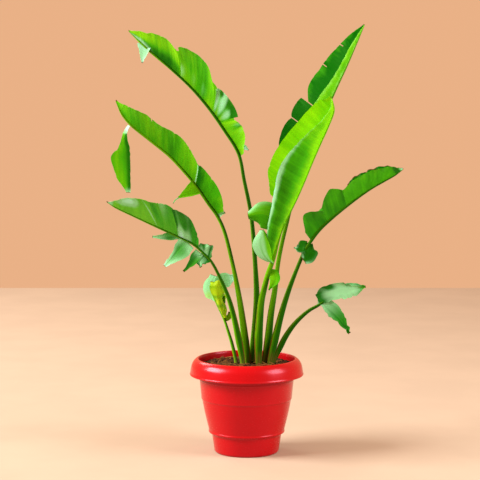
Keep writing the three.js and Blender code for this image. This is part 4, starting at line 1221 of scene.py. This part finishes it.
def soil_material(name, settings, has_shade):
    """Dark crumbly earth with painted shade in its small hollows. Grains and fibres carry a shade of their
    own.
    """
    material, nodes, surface, _ = shader(name)
    coordinate = nodes.value("ShaderNodeTexCoord", output="Object")
    grit = nodes.noise(coordinate, 900, 2)
    if has_shade:
        shade = nodes.attribute("shade", "Fac") + grit * 0.2
    else:
        shade = nodes.noise(coordinate, 60, 3) * 0.4
    colour = nodes.mix(nodes.ramp(shade, 0.1, 1.1), rgba(settings.soil), rgba(settings.fibre))
    # Painted shade: the grit's low places, where its bump dips, are darkened.
    painted_hollow_shade = nodes.mix(nodes.ramp(grit, 0.35, 0.65), rgba((0.45, 0.4, 0.36)), rgba((1, 1, 1)))
    nodes.plug(surface, {
        "Base Color": nodes.mix(1.0, colour, painted_hollow_shade, "MULTIPLY"), "Roughness": 0.93,
        "Normal": nodes.bump(grit, 0.7, 0.6 * MM), "Specular IOR Level": 0.2})
    return material


# ---------------------------------------------------------------- stage
CAMERA_PLACE = (-0.0117, -3.0, 0.669)  # in metres, as are the lights' places
CAMERA_PITCH = math.radians(5.62)
LENS = 129.75
LIGHTS_AIM = (0, 0, 0.35)


def set_room(scene, colour, strength):
    """Even light from all round."""
    world = bpy.data.worlds.new("soft_room")
    world.use_nodes = True
    background = world.node_tree.nodes["Background"]
    background.inputs["Color"].default_value = rgba(colour)
    background.inputs["Strength"].default_value = strength
    scene.world = world


def set_camera(scene):
    data = bpy.data.cameras.new("camera")
    data.sensor_width = 36
    data.lens = LENS
    data.clip_end = 50
    camera = bpy.data.objects.new("camera", data)
    camera.location = CAMERA_PLACE
    camera.rotation_euler = Euler((math.pi / 2 - CAMERA_PITCH, 0, 0))
    scene.collection.objects.link(camera)
    scene.camera = camera


def area_light(name, place, size, power, colour):
    data = bpy.data.lights.new(name, "AREA")
    data.shape = "RECTANGLE"
    data.size, data.size_y = size
    data.energy = power
    data.color = colour
    lamp = bpy.data.objects.new(name, data)
    lamp.location = place
    lamp.rotation_euler = (Vector(LIGHTS_AIM) - Vector(place)).to_track_quat("-Z", "Y").to_euler()
    bpy.context.scene.collection.objects.link(lamp)


def floor_material(settings):
    """Matt and faintly cloudy."""
    material, nodes, surface, _ = shader("pale_floor")
    cloud = nodes.noise(nodes.value("ShaderNodeTexCoord", output="Object"), 6, 3)
    paler = tuple(min(1, c * 1.05) for c in settings.floor)
    nodes.plug(surface, {
        "Base Color": nodes.mix(nodes.ramp(cloud, 0.3, 0.7), rgba(settings.floor), rgba(paler)),
        "Roughness": 1.0, "Specular IOR Level": 0.1})
    return material


# ---------------------------------------------------------------- operators
class PALM_OT_make_pot(bpy.types.Operator):
    """Turn the pot on its profile, with a rolled lip, moulded ledges and drain holes"""
    bl_idname = "palm.make_pot"
    bl_label = "Make Pot"
    bl_options = {"REGISTER", "UNDO"}

    def execute(self, context):
        settings = context.scene.palm_pot
        turned_pot = mesh_of(lathed(pot_profile(), settings.segments), "pot_shell")
        blank = place_piece("pot_blank", turned_pot, pot_material(settings))
        drills = place_piece("pot_drills", drain_drills())
        cut = blank.modifiers.new("drain holes", "BOOLEAN")
        cut.operation = "DIFFERENCE"
        cut.object = drills
        cut.solver = "EXACT"
        shell = bpy.data.meshes.new_from_object(blank.evaluated_get(context.evaluated_depsgraph_get()))
        for scrap in (blank, drills):
            bpy.data.objects.remove(scrap)
        shell.polygons.foreach_set("use_smooth", [True] * len(shell.polygons))
        shell.set_sharp_from_angle(angle=SHARP_POT)
        attach(place_piece("moulded_pot", shell), "pot")
        return {"FINISHED"}


class PALM_OT_fill_soil(bpy.types.Operator):
    """Fill the pot with soil and scatter grains and fibres on it"""
    bl_idname = "palm.fill_soil"
    bl_label = "Fill Soil"
    bl_options = {"REGISTER", "UNDO"}

    def execute(self, context):
        settings = context.scene.palm_pot
        mesh = soil_mesh()
        ground = mesh.copy()
        attach(place_piece("soil_bed", mesh, soil_material("earth", settings, False)), "soil")
        grains = grown("soil_grains", ground, grain_tree(), {
            "Density": settings.grain_density, "Grain Size": settings.grain_size, "Seed": settings.seed,
            "Material": soil_material("grains", settings, True)})
        attach(grains, "soil")
        return {"FINISHED"}


class PALM_OT_grow_stalks(bpy.types.Operator):
    """Sweep each leaf's stalk and midrib along its spine"""
    bl_idname = "palm.grow_stalks"
    bl_label = "Grow Stalks"
    bl_options = {"REGISTER", "UNDO"}

    def execute(self, context):
        settings = context.scene.palm_stalks
        tree = stalk_tree()
        sizes = {"Sides": settings.sides, "Channel": settings.channel, "Sheath": settings.sheath,
                 "Spread": settings.spread, "Material": stalk_material("stalk_skin", settings)}
        for name, leaf in LEAVES.items():
            line = spine_line(name + "_spine", prepared(leaf), settings.step / MM)
            attach(grown(name + "_stalk", line, tree, sizes), name)
        return {"FINISHED"}


class PALM_OT_grow_blades(bpy.types.Operator):
    """Grow each leaf's torn and pleated blade on its midrib"""
    bl_idname = "palm.grow_blades"
    bl_label = "Grow Blades"
    bl_options = {"REGISTER", "UNDO"}

    def execute(self, context):
        settings = context.scene.palm_leaves
        tree = vein_tree()
        cell = settings.cell / MM
        materials = {kind: leaf_material("leaf_" + kind, settings, settings.sea, SEA_SHARE * (kind == "sea"))
                     for kind in SLOTS}
        for name, shape in LEAVES.items():
            leaf = prepared(shape)
            material = materials[leaf["kind"]]
            if "yellow" in leaf:
                material = leaf_material("leaf_yellow", settings, settings.yellow, leaf["yellow"])
            sheets = [lobe_sheet(leaf, lobe, i, cell) for i, lobe in enumerate(leaf["lobes"])]
            sheets += [strip_sheet(strip, i, cell) for i, strip in enumerate(leaf["strips"])]
            blank = slab(name + "_sheets", sheets, settings.thickness / MM)
            blade = grown(name + "_blade", blank, tree, {
                "Vein Spacing": settings.vein_spacing, "Pleat": settings.pleat,
                "Crease Length": settings.crease_length, "Material": material})
            blade.data.set_sharp_from_angle(angle=SHARP_BLADE)
            attach(blade, name)
        return {"FINISHED"}


class PALM_OT_set_stage(bpy.types.Operator):
    """Lay the floor and set the lights and the camera"""
    bl_idname = "palm.set_stage"
    bl_label = "Set Stage"
    bl_options = {"REGISTER", "UNDO"}

    def execute(self, context):
        scene = context.scene
        settings = scene.palm_stage
        bm = bmesh.new()
        bmesh.ops.create_grid(bm, x_segments=1, y_segments=1, size=settings.floor_half)
        floor = place_piece("floor", mesh_of(bm, "floor"), floor_material(settings))
        set_room(scene, settings.wall, settings.sky)
        area_light("key", (-3.6, -0.7, 2.6), (2.6, 1.8), settings.key, (1.0, 0.97, 0.92))
        area_light("fill", (2.0, -0.9, 1.3), (1.2, 1.2), settings.fill, (1.0, 0.98, 0.96))
        area_light("back", (-1.4, 1.8, 2.0), (0.9, 0.9), settings.back, (1.0, 0.96, 0.88))
        set_camera(scene)
        scene.view_settings.view_transform = "Standard"
        return {"FINISHED"}


class PALM_PT_panel(bpy.types.Panel):
    """Lists the palm's settings and the steps that make it"""
    bl_idname = "PALM_PT_panel"
    bl_label = "Travelers Palm"
    bl_space_type = "VIEW_3D"
    bl_region_type = "UI"
    bl_category = "Palm"

    def draw(self, context):
        layout = self.layout
        for operator in OPERATORS:
            layout.operator(operator.bl_idname)
        for key in SETTINGS:
            group = getattr(context.scene, key)
            box = layout.box()
            box.label(text=key.removeprefix("palm_").title())
            for name in group.bl_rna.properties.keys():
                if name not in {"rna_type", "name"}:
                    box.prop(group, name)


OPERATORS = (PALM_OT_make_pot, PALM_OT_fill_soil, PALM_OT_grow_stalks, PALM_OT_grow_blades, PALM_OT_set_stage)
SETTINGS = {"palm_pot": PALM_PG_pot, "palm_stalks": PALM_PG_stalks, "palm_leaves": PALM_PG_leaves,
            "palm_stage": PALM_PG_stage}


def register():
    for made in (*SETTINGS.values(), *OPERATORS, PALM_PT_panel):
        bpy.utils.register_class(made)
    for key, group in SETTINGS.items():
        setattr(bpy.types.Scene, key, PointerProperty(type=group))


def unregister():
    for key in SETTINGS:
        delattr(bpy.types.Scene, key)
    for made in reversed((*SETTINGS.values(), *OPERATORS, PALM_PT_panel)):
        bpy.utils.unregister_class(made)


def main():
    """Makes the stage, the pot and the plant."""
    register()
    bpy.ops.palm.set_stage()
    bpy.ops.palm.make_pot()
    bpy.ops.palm.fill_soil()
    bpy.ops.palm.grow_stalks()
    bpy.ops.palm.grow_blades()


if __name__ == "__main__":
    main()
